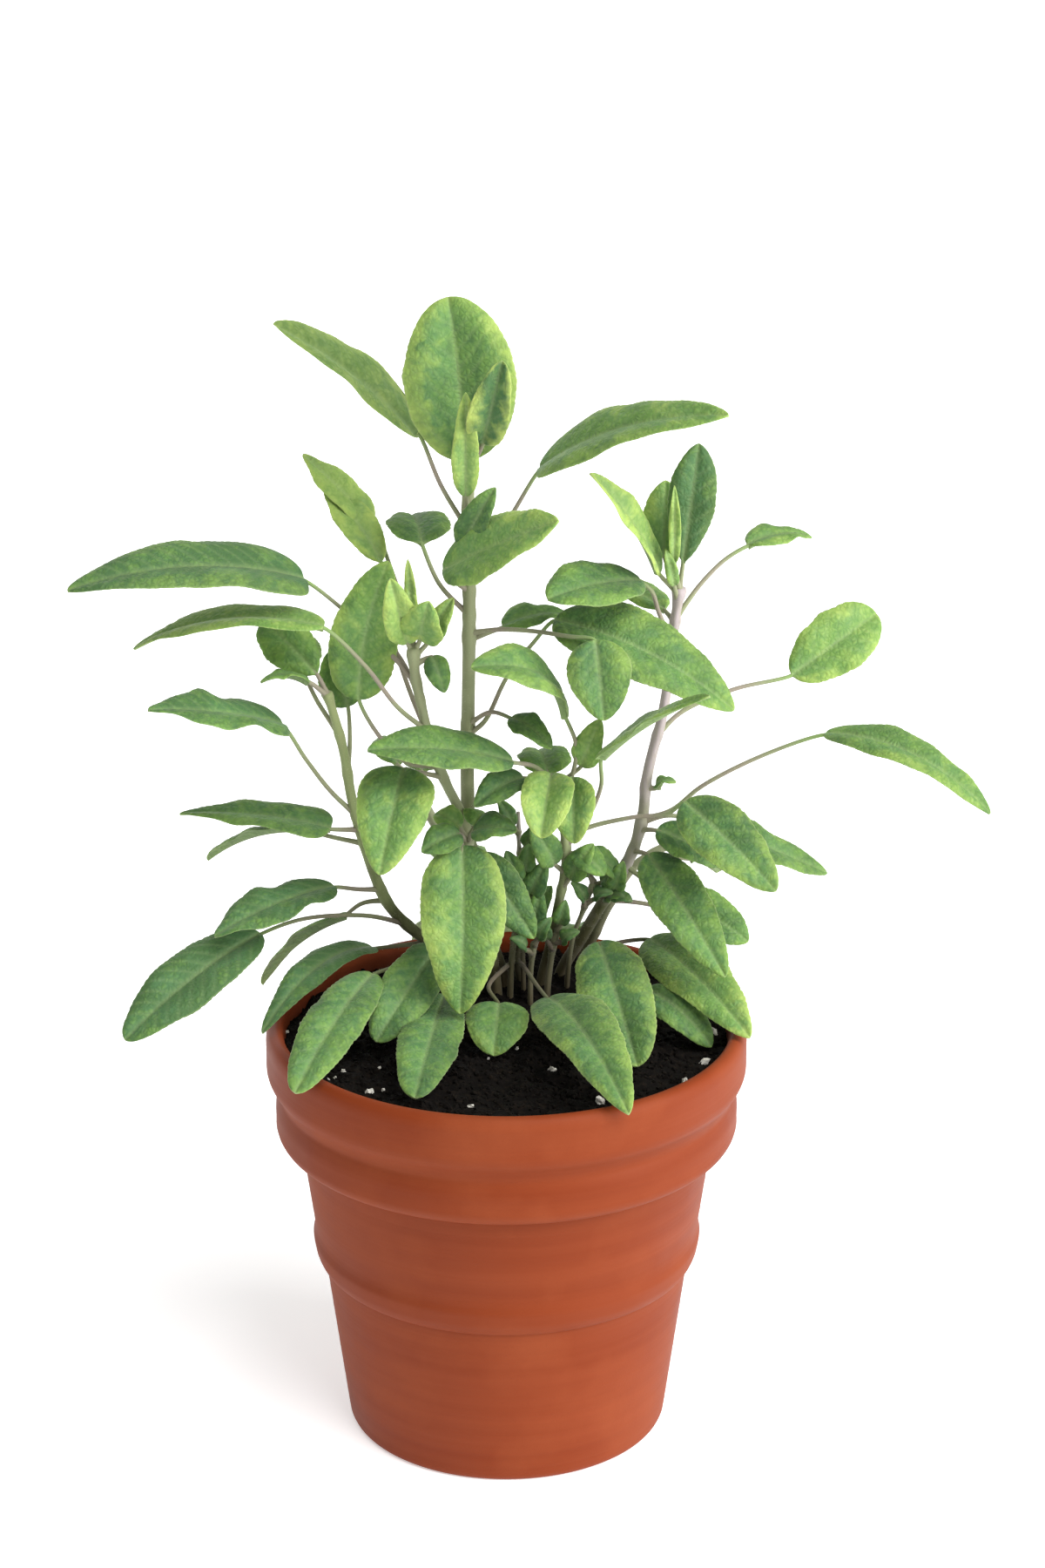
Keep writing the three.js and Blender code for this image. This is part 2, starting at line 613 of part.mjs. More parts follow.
        width: 25, face: 70, arch: 4, sway: -0.5, belly: 0.66,
      },
      { node: -17, base: [-13, -14, 7], tip: [-24, -19.5, 1], width: 10, face: 45 },
      { node: -17, base: [-9.5, -13.5, 7], tip: [3, -13.5, 2], width: 11, face: 30 },
      { node: -16, base: [-13, -12.5, 10], tip: [-20.5, -9, 13], width: 9, face: 30 },
      { node: -16, base: [-9, -12, 12], tip: [-5, -9.5, 20], width: 11, face: 20 },
      { node: -22, base: [-8, -20, 9], tip: [8, -44, 5], width: 13, face: 60 },
      {
        node: -46, base: [-19, -46, 8], tip: [-37, -73.5, -20],
        width: 17, face: 45, belly: 0.85, blunt: 0.45,
      },
      {
        node: -50, via: [[-26, -51, 6]], base: [-38, -54, -2], tip: [-60, -88, -52],
        width: 17, face: 30, arch: 4, belly: 0.9, blunt: 0.42,
      },
      {
        node: -52, base: [-17.5, -60, 4], tip: [-26, -89.5, -50],
        width: 18, face: 30, belly: 1, blunt: 0.42,
      },
      { node: -42, via: [[-13, -40, 20]], base: [-14, -38, 26], tip: [-16, -36, 44], width: 14, face: 0 },
    ],
  },
  {
    name: "shoot_low",
    foot: [4, 33],
    thick: 1.4,
    thin: 1,
    stem: [[3, -50, 30], [3, -43, 28]],
    leaves: [
      {
        node: -50, via: [[-1, -53, 18], [-5, -58, 8]], base: [-2, -62.5, 1], tip: [-3.5, -77.5, -18],
        width: 19, blunt: 0.5,
      },
      {
        node: -50, via: [[5, -52, 22], [8.5, -57, 10]], base: [12, -61, -2], tip: [35, -94, -68],
        width: 21, face: 30, arch: 7,
      },
      { node: -44, base: [4, -40, 25], tip: [7, -24, 19], width: 12, face: 60 },
      { node: -44, base: [6, -41, 27], tip: [13, -29, 25], width: 8, face: 50 },
    ],
  },
  {
    name: "shoot_low_right",
    foot: [23, 22],
    thick: 1.4,
    thin: 1.1,
    stem: [[24, -54, 20], [24.5, -46, 21]],
    leaves: [
      {
        node: -48, base: [26.5, -45, 18], tip: [37.5, -80.5, -25],
        width: 22, face: 60, arch: 3, belly: 0.9, blunt: 0.45,
      },
      {
        node: -54, via: [[33, -56, 13]], base: [40, -58.5, 5], tip: [58.5, -75, -10],
        width: 14, face: 30, arch: 4,
      },
      {
        node: -48, via: [[33, -45, 27]], base: [41, -44, 29], tip: [69.5, -72.3, -16],
        width: 20, face: 38, arch: 4.5,
      },
    ],
  },
  {
    name: "shoot_back_left",
    foot: [-14, 46],
    thick: 1.7,
    thin: 1.2,
    stem: [[-14, -42, 46], [-14, -26, 47], [-20, -12, 49], [-27, 2, 51]],
    leaves: [
      { node: -42, base: [-11, -38, 54], tip: [-22, -56, 98], width: 20, face: 10, arch: 7 },
      { node: -36, base: [-9, -34, 54], tip: [6, -52, 98], width: 18, face: 10, arch: 7 },
      { node: -24, base: [-14, -22, 54], tip: [-14, -22, 96], width: 19, face: 0, arch: 3 },
      { node: -10, base: [-26, -8, 52], tip: [-40, -2, 84], width: 16, face: 0, arch: 3 },
      { node: 0, base: [-24, 4, 56], tip: [-18, 10, 92], width: 18, face: 10 },
      { node: 2, base: [-31, 6, 56], tip: [-33, 13, 90], width: 14, face: 10 },
    ],
  },
  {
    name: "shoot_back_right",
    foot: [22, 45],
    thick: 1.7,
    thin: 1.2,
    stem: [[25, -43, 45], [30, -33, 46], [36, -24, 48], [45, -18, 51], [52, -15, 54]],
    leaves: [
      { node: -42, base: [23, -41, 53], tip: [13, -58, 98], width: 20, face: 10, arch: 7 },
      {
        node: -33, via: [[39, -34, 52]], base: [49, -36, 62], tip: [57, -55, 88],
        width: 15, face: 10, arch: 5,
      },
      { node: -20, base: [53, -21, 58], tip: [60, -25, 96], width: 18, face: 0, arch: 3 },
      { node: -16, base: [56, -15, 60], tip: [66, -18, 96], width: 17, face: 0, arch: 3 },
      { node: -15, base: [54, -18, 56], tip: [70, -24, 66], width: 10, face: 10 },
    ],
  },
];

function named(name, geometry, material) {
  const mesh = new THREE.Mesh(geometry, material);
  mesh.name = name;
  return mesh;
}

const pottedSage = new THREE.Group();
pottedSage.add(named("pot", potGeometry(), TERRACOTTA));
pottedSage.add(named("soil", soilGeometry(SHOOTS), POTTING_MIX));
for (const shoot of SHOOTS) pottedSage.add(named(shoot.name, shootGeometry(shoot), SAGE_GREEN));

export default pottedSage;
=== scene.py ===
# A young common sage in a terracotta pot. The imported model gives the frame, and every piece of it
# is replaced here by a finer one in the same place. Objects are in metres. The measurements of
# the pot and the plant are in millimetres, as they were read.

import math
from dataclasses import dataclass
from functools import partial

import bpy
import numpy as np
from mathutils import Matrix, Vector


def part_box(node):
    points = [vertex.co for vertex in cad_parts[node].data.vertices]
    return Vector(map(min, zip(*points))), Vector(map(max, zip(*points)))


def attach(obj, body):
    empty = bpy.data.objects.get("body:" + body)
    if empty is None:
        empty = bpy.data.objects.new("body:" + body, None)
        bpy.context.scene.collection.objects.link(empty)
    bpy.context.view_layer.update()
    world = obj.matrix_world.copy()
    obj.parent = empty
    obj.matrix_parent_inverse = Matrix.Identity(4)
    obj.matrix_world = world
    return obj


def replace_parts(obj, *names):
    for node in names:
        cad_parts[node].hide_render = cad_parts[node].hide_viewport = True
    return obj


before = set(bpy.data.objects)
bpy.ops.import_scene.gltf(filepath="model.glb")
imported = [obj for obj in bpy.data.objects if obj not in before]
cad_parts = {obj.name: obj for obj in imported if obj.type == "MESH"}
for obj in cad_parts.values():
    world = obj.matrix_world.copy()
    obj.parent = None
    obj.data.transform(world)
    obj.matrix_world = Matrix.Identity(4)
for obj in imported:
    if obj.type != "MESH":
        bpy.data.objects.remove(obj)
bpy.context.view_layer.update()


# The pot
# A 14 cm flower pot of red earthenware, pressed in a spinning mould, which gives it the rolled lip,
# the band under it and the step in the wall. The fine rings are from the trimming tool. It is fired
# once and left unglazed. Its base has four drain holes.

MM = 0.001
POT_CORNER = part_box("pot")[1]
POT_HEIGHT = POT_CORNER.z / MM
RIM_RADIUS = POT_CORNER.x / MM
MOUTH_RADIUS = 65
LIP_HEIGHT = 4.5
LIP_FOOT_DROP = 13
GROOVE_RADIUS = 66.6
GROOVE_DROP = 20.5
BAND_RADIUS = 67.6
BAND_TOP_DROP = 23.5
BAND_FOOT_DROP = 35
WALL_RADIUS = 60.6
STEP_RADIUS = 57.3
STEP_DROP = 66.5
STEP_FOOT_DROP = 73.5
LOWER_WALL_RADIUS = 53.9
BASE_RADIUS = 47
BASE_ROUND = 2
FLOOR_THICKNESS = 8
POT_SEGMENTS = 176
RING_PITCH = 0.62
RING_DEPTH = 0.055
MOUTH_SHADE_DEPTH = 28
SHARP_ANGLE = 38
DRAIN_HOLES = 4
DRAIN_RADIUS = 4.5
DRAIN_CIRCLE = 26
DRAIN_SEGMENTS = 32
INNER_WALL = [
    (63, POT_HEIGHT - 16),
    (61, POT_HEIGHT - 24),
    (55.5, POT_HEIGHT - 37),
    (51.6, POT_HEIGHT - 68),
    (48.8, POT_HEIGHT - 75),
    (43, FLOOR_THICKNESS),
    (0, FLOOR_THICKNESS),
]


def outline_points(start, steps, pitch):
    """Points along straight steps (end,) and curved steps (control, end), about a pitch apart."""
    points = [np.array(start, float)]
    for step in steps:
        begin, control, end = points[-1], np.array(step[0], float), np.array(step[-1], float)
        curved = len(step) == 2
        middle = control if curved else (begin + end) / 2
        count = max(8 if curved else 1, round(np.linalg.norm(end - begin) / pitch))
        for i in range(1, count + 1):
            t = i / count
            points.append((1 - t) ** 2 * begin + 2 * t * (1 - t) * middle + t * t * end)
    return points


def pot_outline():
    """The wall's section from the middle of the base, up the outside and down the inside. A drop is
    measured down from the top of the lip."""
    drops = (LIP_FOOT_DROP, GROOVE_DROP, BAND_TOP_DROP, BAND_FOOT_DROP, STEP_DROP, STEP_FOOT_DROP)
    lip_foot, groove, band_top, band_foot, step, step_foot = (POT_HEIGHT - drop for drop in drops)
    outside = outline_points((0, 0), [
        ((BASE_RADIUS - BASE_ROUND, 0),),
        ((BASE_RADIUS, 0), (BASE_RADIUS + 0.4, BASE_ROUND + 0.5)),
        ((LOWER_WALL_RADIUS, step_foot - 1),),
        ((STEP_RADIUS - 0.5, step_foot), (STEP_RADIUS, step)),
        ((STEP_RADIUS - 0.6, step + 2), (STEP_RADIUS - 0.4, step + 5)),
        ((WALL_RADIUS, band_foot),),
        ((BAND_RADIUS - 0.4, band_foot + 0.4), (BAND_RADIUS, band_foot + 4.5)),
        ((BAND_RADIUS, band_top - 2),),
        ((BAND_RADIUS, band_top), (GROOVE_RADIUS, groove)),
        ((GROOVE_RADIUS + 0.2, groove + 2.5), (RIM_RADIUS - 1, lip_foot - 2.5)),
        ((RIM_RADIUS, lip_foot - 1), (RIM_RADIUS, lip_foot + 1)),
        ((RIM_RADIUS, POT_HEIGHT - LIP_HEIGHT),),
    ], RING_PITCH)
    for point in outside:
        rings = math.sin(6.1 * point[1]) + 0.7 * math.sin(2.3 * point[1] + 1) * math.sin(0.9 * point[1])
        point[0] = max(0, point[0] - RING_DEPTH * (1 + rings) / 2)
    lip = outline_points((RIM_RADIUS, POT_HEIGHT - LIP_HEIGHT), [
        ((RIM_RADIUS - 0.2, POT_HEIGHT), (RIM_RADIUS - 3, POT_HEIGHT)),
        ((MOUTH_RADIUS, POT_HEIGHT), (MOUTH_RADIUS - 0.2, POT_HEIGHT - 4)),
    ], RING_PITCH)
    inside = outline_points(lip[-1], [(place,) for place in INNER_WALL], 4)
    return [*outside, *lip[1:], *inside[1:]]


def circle(radius, height, segments):
    """Points of a level circle round the vertical axis."""
    turn = np.arange(segments) * math.tau / segments
    return np.stack([radius * np.cos(turn), radius * np.sin(turn), np.full(segments, float(height))], 1)


def ring_faces(rows, sides):
    """Faces between rows of rings, each end closed to one of the two points after the last ring."""
    row, side = np.meshgrid(np.arange(rows - 1), np.arange(sides), indexing="ij")
    a = (row * sides + side).ravel()
    b = (row * sides + (side + 1) % sides).ravel()
    faces = np.stack([a, b, b + sides, a + sides], 1).tolist()
    last = (rows - 1) * sides
    for i in range(sides):
        after = (i + 1) % sides
        faces.append([after, i, rows * sides])
        faces.append([last + i, last + after, rows * sides + 1])
    return faces


def turned(outline, segments):
    """Points and faces of an outline of (radius, height), from axis to axis, turned once round."""
    rings = [circle(radius, height, segments) for radius, height in outline[1:-1]]
    ends = [(0, 0, outline[0][1]), (0, 0, outline[-1][1])]
    return np.concatenate([*rings, ends]), ring_faces(len(rings), segments)


def in_scene(name, data):
    """A new object in the scene."""
    made = bpy.data.objects.new(name, data)
    bpy.context.scene.collection.objects.link(made)
    return made


def new_piece(name, points, faces, material):
    """A mesh object from points in millimetres, standing in the frame with its place in its mesh."""
    mesh = bpy.data.meshes.new(name)
    mesh.from_pydata((np.asarray(points) * MM).tolist(), [], faces)
    mesh.materials.append(material)
    mesh.shade_smooth()
    return in_scene(name, mesh)


def without_modifiers(piece):
    """Turns a piece's evaluated shape into its plain mesh and takes its modifiers off."""
    evaluated = piece.evaluated_get(bpy.context.evaluated_depsgraph_get())
    mesh = bpy.data.meshes.new_from_object(evaluated)
    piece.modifiers.clear()
    piece.data = mesh
    return piece


def linear(hex_colour):
    """An sRGB hex colour as linear red, green, blue and alpha."""
    channels = [int(hex_colour[i : i + 2], 16) / 255 for i in (1, 3, 5)]
    return [c / 12.92 if c <= 0.04045 else ((c + 0.055) / 1.055) ** 2.4 for c in channels] + [1.0]


def plug(node, inputs):
    """Gives a node's inputs, listed in order or by name or number, a value or another output. A
    number is for sockets that share their name, such as the two colours of a Mix node."""
    for key, value in inputs.items() if isinstance(inputs, dict) else enumerate(inputs):
        if isinstance(value, bpy.types.NodeSocket):
            node.id_data.links.new(value, node.inputs[key])
        else:
            node.inputs[key].default_value = value


def add(tree, kind, inputs=(), **settings):
    """Adds a node with its settings and inputs, and gives its first output in use."""
    node = tree.nodes.new(kind)
    for name, value in settings.items():
        setattr(node, name, value)
    plug(node, inputs)
    return next((output for output in node.outputs if output.enabled), None)


def new_material(name):
    """A node material, its tree and its Principled surface."""
    material = bpy.data.materials.new(name)
    material.use_nodes = True
    return material, material.node_tree, material.node_tree.nodes["Principled BSDF"]


def terracotta():
    """Unglazed red earthenware, trimmed on the wheel: matt, a little streaked round, with a dusty
    bloom and a fine sandy grain. Inside the mouth, from the lip down to a depth, the wall is painted
    dark brown as painted shade on the inner wall."""
    material, tree, shader = new_material("Terracotta")
    place = add(tree, "ShaderNodeTexCoord").node.outputs["Object"]
    level = add(tree, "ShaderNodeMapping", {"Vector": place, "Scale": (5, 5, 170)})
    streaks, clouds, grain = (
        add(tree, "ShaderNodeTexNoise", {"Vector": spot, "Scale": scale, "Detail": detail})
        for spot, scale, detail in ((level, 1.0, 3.0), (place, 34.0, 4.0), (place, 2200.0, 2.0))
    )
    colour = linear("#772f10")
    for pattern, low, high, most, layer in (
        (streaks, 0.3, 0.7, 1.0, "#803718"),
        (clouds, 0.48, 0.78, 0.5, "#91492a"),
        (grain, 0.62, 0.8, 0.35, "#672c17"),
    ):
        share = add(tree, "ShaderNodeMapRange", [pattern, low, high, 0.0, most])
        colour = add(tree, "ShaderNodeMix", {0: share, 6: colour, 7: linear(layer)}, data_type="RGBA")
    flat = add(tree, "ShaderNodeVectorMath", [place, (1, 1, 0)], operation="MULTIPLY")
    reach = add(tree, "ShaderNodeVectorMath", [flat], operation="LENGTH")
    # Painted shade: the inner wall of the mouth is darkened toward dark brown from the lip down to a depth.
    limits = [(MOUTH_RADIUS - 0.5) * MM, (MOUTH_RADIUS + 0.2) * MM]
    inside = add(tree, "ShaderNodeMapRange", [reach, *limits, 0.7, 0.0])
    height = add(tree, "ShaderNodeSeparateXYZ", [place]).node.outputs["Z"]
    limits = [(POT_HEIGHT - MOUTH_SHADE_DEPTH - 4) * MM, (POT_HEIGHT - MOUTH_SHADE_DEPTH) * MM]
    upper = add(tree, "ShaderNodeMapRange", [height, *limits, 0.0, 1.0])
    mouth_shade = add(tree, "ShaderNodeMath", [inside, upper], operation="MULTIPLY")
    shaded_mouth = add(tree, "ShaderNodeMix", {0: mouth_shade, 6: colour, 7: linear("#321a10")}, data_type="RGBA")
    rings = add(tree, "ShaderNodeBump", {"Strength": 0.3, "Distance": 0.0002, "Height": streaks})
    sand = {"Strength": 0.25, "Distance": 0.0001, "Height": grain, "Normal": rings}
    plug(shader, {
        "Base Color": shaded_mouth,
        "Roughness": add(tree, "ShaderNodeMapRange", [clouds, 0.3, 0.7, 0.48, 0.66]),
        "IOR": 1.45,
        "Specular IOR Level": 0.16,
        "Normal": add(tree, "ShaderNodeBump", sand),
    })
    return material


TERRACOTTA = terracotta()
pot = new_piece("pot_terracotta", *turned(pot_outline(), POT_SEGMENTS), TERRACOTTA)
for hole in range(DRAIN_HOLES):
    bearing = math.tau * (hole + 0.5) / DRAIN_HOLES
    middle = (DRAIN_CIRCLE * math.cos(bearing), DRAIN_CIRCLE * math.sin(bearing), 0)
    ends = (-1, FLOOR_THICKNESS + 1)
    through = [(0, ends[0]), *[(DRAIN_RADIUS, height) for height in ends], (0, ends[1])]
    cutter_points, cutter_faces = turned(through, DRAIN_SEGMENTS)
    cutter = new_piece("drain_cutter", cutter_points + middle, cutter_faces, TERRACOTTA)
    drain = pot.modifiers.new("Drain hole", "BOOLEAN")
    drain.object = cutter
    drain.solver = "EXACT"
    without_modifiers(pot)
    bpy.data.objects.remove(cutter)
pot.data.set_sharp_from_angle(angle=math.radians(SHARP_ANGLE))
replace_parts(pot, "pot")
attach(pot, "root")


# The potting mix
# Moist black peat with bark crumbs and a little white perlite, heaped round the stems and about
# 6 mm below the lip. The crumbs and the perlite are scattered over its surface by Geometry Nodes.

SOIL_DROP = 6.3
MOUND_HEIGHT = 3
MOUND_SPREAD = 24
CROWN = (8, 28)
CRUMB_RELIEF = 0.45
SOIL_SEGMENTS = 200
SOIL_RING_PITCH = 0.62
SOIL_RADIUS = 64.3
SOIL_CLEARANCE = 0.4
CLOD_MEAN = 1.3
SCATTER_DEPTH = 3
HEAP_HEIGHT = 1.7
HEAP_SPREAD = 3.4
CLODS = [(2.2, 6.5, 2), (1.1, 2.6, 1), (0.7, 1.2, 1)]
STEM_FEET = {
    "shoot_main": (-1, 31),
    "shoot_second": (-3, 22),
    "shoot_left": (-8, 36),
    "shoot_right": (16, 36),
    "shoot_centre_right": (10, 28),
    "shoot_front": (-12, 13),
    "shoot_low": (4, 33),
    "shoot_low_right": (23, 22),
    "shoot_back_left": (-14, 46),
    "shoot_back_right": (22, 45),
}


def chance(i, j, seed):
    """A repeatable number from 0 to 1 for each pair of whole numbers."""
    mixed = np.sin(i * 127.1 + j * 311.7 + seed * 74.7) * 43758.5453
    return mixed - np.floor(mixed)


def lumps(x, y, size, seed):
    """Smooth lumps of about a size in millimetres, from 0 to 1."""
    i, j = np.floor(x / size), np.floor(y / size)
    u, v = x / size - i, y / size - j
    u, v = u * u * (3 - 2 * u), v * v * (3 - 2 * v)
    low = chance(i, j, seed) * (1 - u) + chance(i + 1, j, seed) * u
    high = chance(i, j + 1, seed) * (1 - u) + chance(i + 1, j + 1, seed) * u
    return low * (1 - v) + high * v


def soil_height(x, y):
    """How high the mix stands at a place, before its crumbs."""
    away = (x - CROWN[0]) ** 2 + (y - CROWN[1]) ** 2
    mound = MOUND_HEIGHT * np.exp(-away / (2 * MOUND_SPREAD**2))
    relief = CRUMB_RELIEF * np.sin(0.55 * x + 0.31 * y) * np.cos(0.47 * y - 0.23 * x)
    return POT_HEIGHT - SOIL_DROP + mound + relief


def soil_ring(radius):
    """One ring of the mix's surface, pressed up round each stem and rough with clods, which come in
    layers of a height, a size and a power that makes them stand apart."""
    points = circle(radius, 0, SOIL_SEGMENTS)
    x, y = points[:, 0], points[:, 1]
    clods = sum(
        high * lumps(x, y, size, seed) ** power for seed, (high, size, power) in enumerate(CLODS, 1)
    )
    away = [(x - foot_x) ** 2 + (y - foot_y) ** 2 for foot_x, foot_y in STEM_FEET.values()]
    heap = HEAP_HEIGHT * np.exp(-np.min(away, axis=0) / (2 * HEAP_SPREAD**2))
    points[:, 2] = soil_height(x, y) + clods - CLOD_MEAN + heap
    return points


def soil_mesh():
    """The mix's closed body: its underside and wall, coarse, then its rough top, ring by ring."""
    rings = [
        circle(radius - SOIL_CLEARANCE, height + SOIL_CLEARANCE, SOIL_SEGMENTS)
        for radius, height in reversed(INNER_WALL[:-1])
    ]
    rings += [soil_ring(radius) for radius in np.arange(SOIL_RADIUS, 0.5, -SOIL_RING_PITCH)]
    ends = [(0, 0, FLOOR_THICKNESS + SOIL_CLEARANCE), (0, 0, soil_ring(0.01)[0, 2])]
    return np.concatenate([*rings, ends]), ring_faces(len(rings), SOIL_SEGMENTS)


def potting_mix():
    """Moist peat: nearly black, dull, with brown bark crumbs. The grain is drawn at about 1 mm."""
    material, tree, shader = new_material("Potting mix")
    place = add(tree, "ShaderNodeTexCoord").node.outputs["Object"]
    crumbs = add(tree, "ShaderNodeTexNoise", {"Vector": place, "Scale": 620.0, "Detail": 5.0})
    clods = add(tree, "ShaderNodeTexNoise", {"Vector": place, "Scale": 120.0, "Detail": 3.0})
    bark = add(tree, "ShaderNodeMapRange", [crumbs, 0.5, 0.72, 0.0, 0.8])
    colour = linear("#060403")
    for share, layer in ((clods, "#0e0a07"), (bark, "#1d160f")):
        colour = add(tree, "ShaderNodeMix", {0: share, 6: colour, 7: linear(layer)}, data_type="RGBA")
    grain = add(tree, "ShaderNodeBump", {"Strength": 0.8, "Distance": 0.0006, "Height": crumbs})
    plug(shader, {
        "Base Color": colour, "Roughness": 0.93, "IOR": 1.45, "Specular IOR Level": 0.15, "Normal": grain,
    })
    return material


def perlite():
    """Perlite: white volcanic glass puffed by heat, chalky and full of pores."""
    material, tree, shader = new_material("Perlite")
    place = add(tree, "ShaderNodeTexCoord").node.outputs["Object"]
    pores = add(tree, "ShaderNodeTexNoise", {"Vector": place, "Scale": 1500.0, "Detail": 2.0})
    chalk = {0: pores, 6: linear("#9c9788"), 7: linear("#f1eee6")}
    colour = add(tree, "ShaderNodeMix", chalk, data_type="RGBA")
    plug(shader, {"Base Color": colour, "Roughness": 0.85, "IOR": 1.4})
    return material


def scattering(name, measures, chosen, shape, material):
    """Geometry Nodes that scatter a shape over a body, above a lowest place. chosen adds the test
    for where, and shape adds the shape, its turn and its size."""
    tree = bpy.data.node_groups.new(name, "GeometryNodeTree")
    tree.interface.new_socket("Geometry", in_out="INPUT", socket_type="NodeSocketGeometry")
    for label in ("Per square metre", "Lowest place", *measures):
        tree.interface.new_socket(label, in_out="INPUT", socket_type="NodeSocketFloat")
    tree.interface.new_socket("Seed", in_out="INPUT", socket_type="NodeSocketInt")
    tree.interface.new_socket("Geometry", in_out="OUTPUT", socket_type="NodeSocketGeometry")
    given = add(tree, "NodeGroupInput").node.outputs
    height = add(tree, "ShaderNodeSeparateXYZ", [add(tree, "GeometryNodeInputPosition")]).node.outputs[2]
    high = add(tree, "FunctionNodeCompare", [height, given["Lowest place"]])
    spots = add(tree, "GeometryNodeDistributePointsOnFaces", {
        "Mesh": given["Geometry"],
        "Selection": add(tree, "FunctionNodeBooleanMath", [chosen(tree), high]),
        "Density": given["Per square metre"],
        "Seed": given["Seed"],
    }).node.outputs
    instance, turn, size = shape(tree, given, spots)
    placed = {"Points": spots["Points"], "Instance": instance, "Rotation": turn, "Scale": size}
    real = add(tree, "GeometryNodeRealizeInstances", [add(tree, "GeometryNodeInstanceOnPoints", placed)])
    dressed = add(tree, "GeometryNodeSetMaterial", {"Geometry": real, "Material": material})
    add(tree, "NodeGroupOutput", [dressed])
    return tree


def upward(tree):
    """Faces that look up."""
    facing = add(tree, "ShaderNodeSeparateXYZ", [add(tree, "GeometryNodeInputNormal")]).node.outputs[2]
    return add(tree, "FunctionNodeCompare", [facing, 0.4])


def grain(subdivisions, tree, given, spots):
    """A dented ball, turned and stretched at random."""
    size = {2: given["Smallest"], 3: given["Largest"], "Seed": given["Seed"]}
    stretch = {0: (0.6, 0.6, 0.5), 1: (1.25, 1.0, 0.85), "Seed": 7}
    turn = {0: (0.0, 0.0, 0.0), 1: (math.tau, math.tau, math.tau), "Seed": 11}
    size = add(tree, "FunctionNodeRandomValue", size, data_type="FLOAT")
    stretch, turn = (
        add(tree, "FunctionNodeRandomValue", limits, data_type="FLOAT_VECTOR") for limits in (stretch, turn)
    )
    scale = add(tree, "ShaderNodeVectorMath", {0: stretch, "Scale": size}, operation="SCALE")
    ball = add(tree, "GeometryNodeMeshIcoSphere", {"Radius": 0.5, "Subdivisions": subdivisions})
    dents = add(tree, "ShaderNodeTexNoise", {"Scale": 2.6, "Detail": 1.0}).node.outputs["Color"]
    dent = add(tree, "ShaderNodeVectorMath", [dents, (0.5, 0.5, 0.5)], operation="SUBTRACT")
    return add(tree, "GeometryNodeSetPosition", {"Geometry": ball, "Offset": dent}), turn, scale


def scattered(name, ground, tree, values):
    """A new piece: what the tree scatters over the ground piece, as a plain mesh."""
    piece = in_scene(name, ground.data.copy())
    modifier = piece.modifiers.new("Scatter", "NODES")
    modifier.node_group = tree
    for item in tree.interface.items_tree:
        if item.in_out == "INPUT" and item.name in values:
            modifier[item.identifier] = values[item.name]
    return without_modifiers(piece)


POTTING_MIX = potting_mix()
soil = new_piece("soil_mix", *soil_mesh(), POTTING_MIX)
pieces = [soil]
for name, subdivisions, material, density, smallest, largest, seed in (
    ("crumbs", 1, POTTING_MIX, 260000.0, 0.0008, 0.0024, 3),
    ("perlite", 2, perlite(), 2000.0, 0.001, 0.0034, 4),
):
    tree = scattering(name, ("Smallest", "Largest"), upward, partial(grain, subdivisions), material)
    pieces.append(scattered("soil_" + name, soil, tree, {
        "Per square metre": density, "Lowest place": (POT_HEIGHT - SOIL_DROP - SCATTER_DEPTH) * MM,
        "Smallest": smallest, "Largest": largest, "Seed": seed,
    }))
for piece in pieces:
    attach(piece, "root")
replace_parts(soil, "soil")


# The sage shoots
# Common sage: four-sided stems, woody and olive below, downy and grey-green above, with long-stalked
# leaves in pairs. A blade is a thick, pebbled oval with a sunken midrib, curved side veins and a
# finely scalloped margin, green above and felted grey-green below. Each shoot grew as one piece.
# The plant was measured from in front and 20 degrees above, so each place on it is given as
# (across, up, back): across from the pot's axis and up from the middle of the view, as seen, and
# the real distance behind the pot's axis, which is negative in front of it.

VIEW_TILT = math.radians(20)
VIEW_DISTANCE = 1100
VIEW_CENTRE = np.array([4.7, 0, POT_HEIGHT + 73])
EYE = VIEW_CENTRE + VIEW_DISTANCE * np.array([0, -math.cos(VIEW_TILT), math.sin(VIEW_TILT)])
ROOT_DEPTH = 24
STRAIGHT_RISE = 2
STEM_SIDES = 16
STEM_PITCH = 1.3
STEM_CORNERS = 0.07
NODE_SWELL = 0.22
NODE_LENGTH = 1.8
STALK_RADIUS = 0.68
STALK_SIDES = 10
STALK_PITCH = 1.4
STALK_SINK = 4
STALK_FOOT = 0.45
BLADE_THICKNESS = 0.6
BLADE_GRID = 0.62
SIDE_TURN = math.radians(77.4)
FULL_WIDTH = 14
MARGIN_START = 0.7
TOOTH_PITCH = 2.1
TOOTH_DEPTH = 0.32
WAVE_LENGTH = 4.3
RIB_WIDTH = 0.55
RIB_SINK = 0.3
UNDER_RIB_WIDTH = 0.85
VEIN_SINK = 0.13
UNDER_VEIN_RISE = 0.22
VEIN_SPACING = 4.6
VEIN_WIDTH = 0.6
VEIN_LEAN = 0.85
VEIN_CURVE = 0.012
PEBBLE_RISE = 0.17
UNDER_PEBBLE_SINK = 0.1
PEBBLE_SIZE = 2.4
BARE_RISE = 8
HAIR_DENSITY = 500000.0
# How far below and above the pot's top the stems turn dark brown: woody bark and painted shade.
WOODY_SHADE_DROP = 2
WOODY_SHADE_RISE = 36
BLADE_MAP_UNIT = 100
SEED_STEP = 17
MARKS = (
    "leaf_vein", "leaf_edge", "leaf_under", "leaf_tone", "leaf_lime",
    "stem_height", "stem_stalk", "stem_mauve",
)
HAIR_LENGTH = 0.7
HAIR_THICKNESS = 0.05


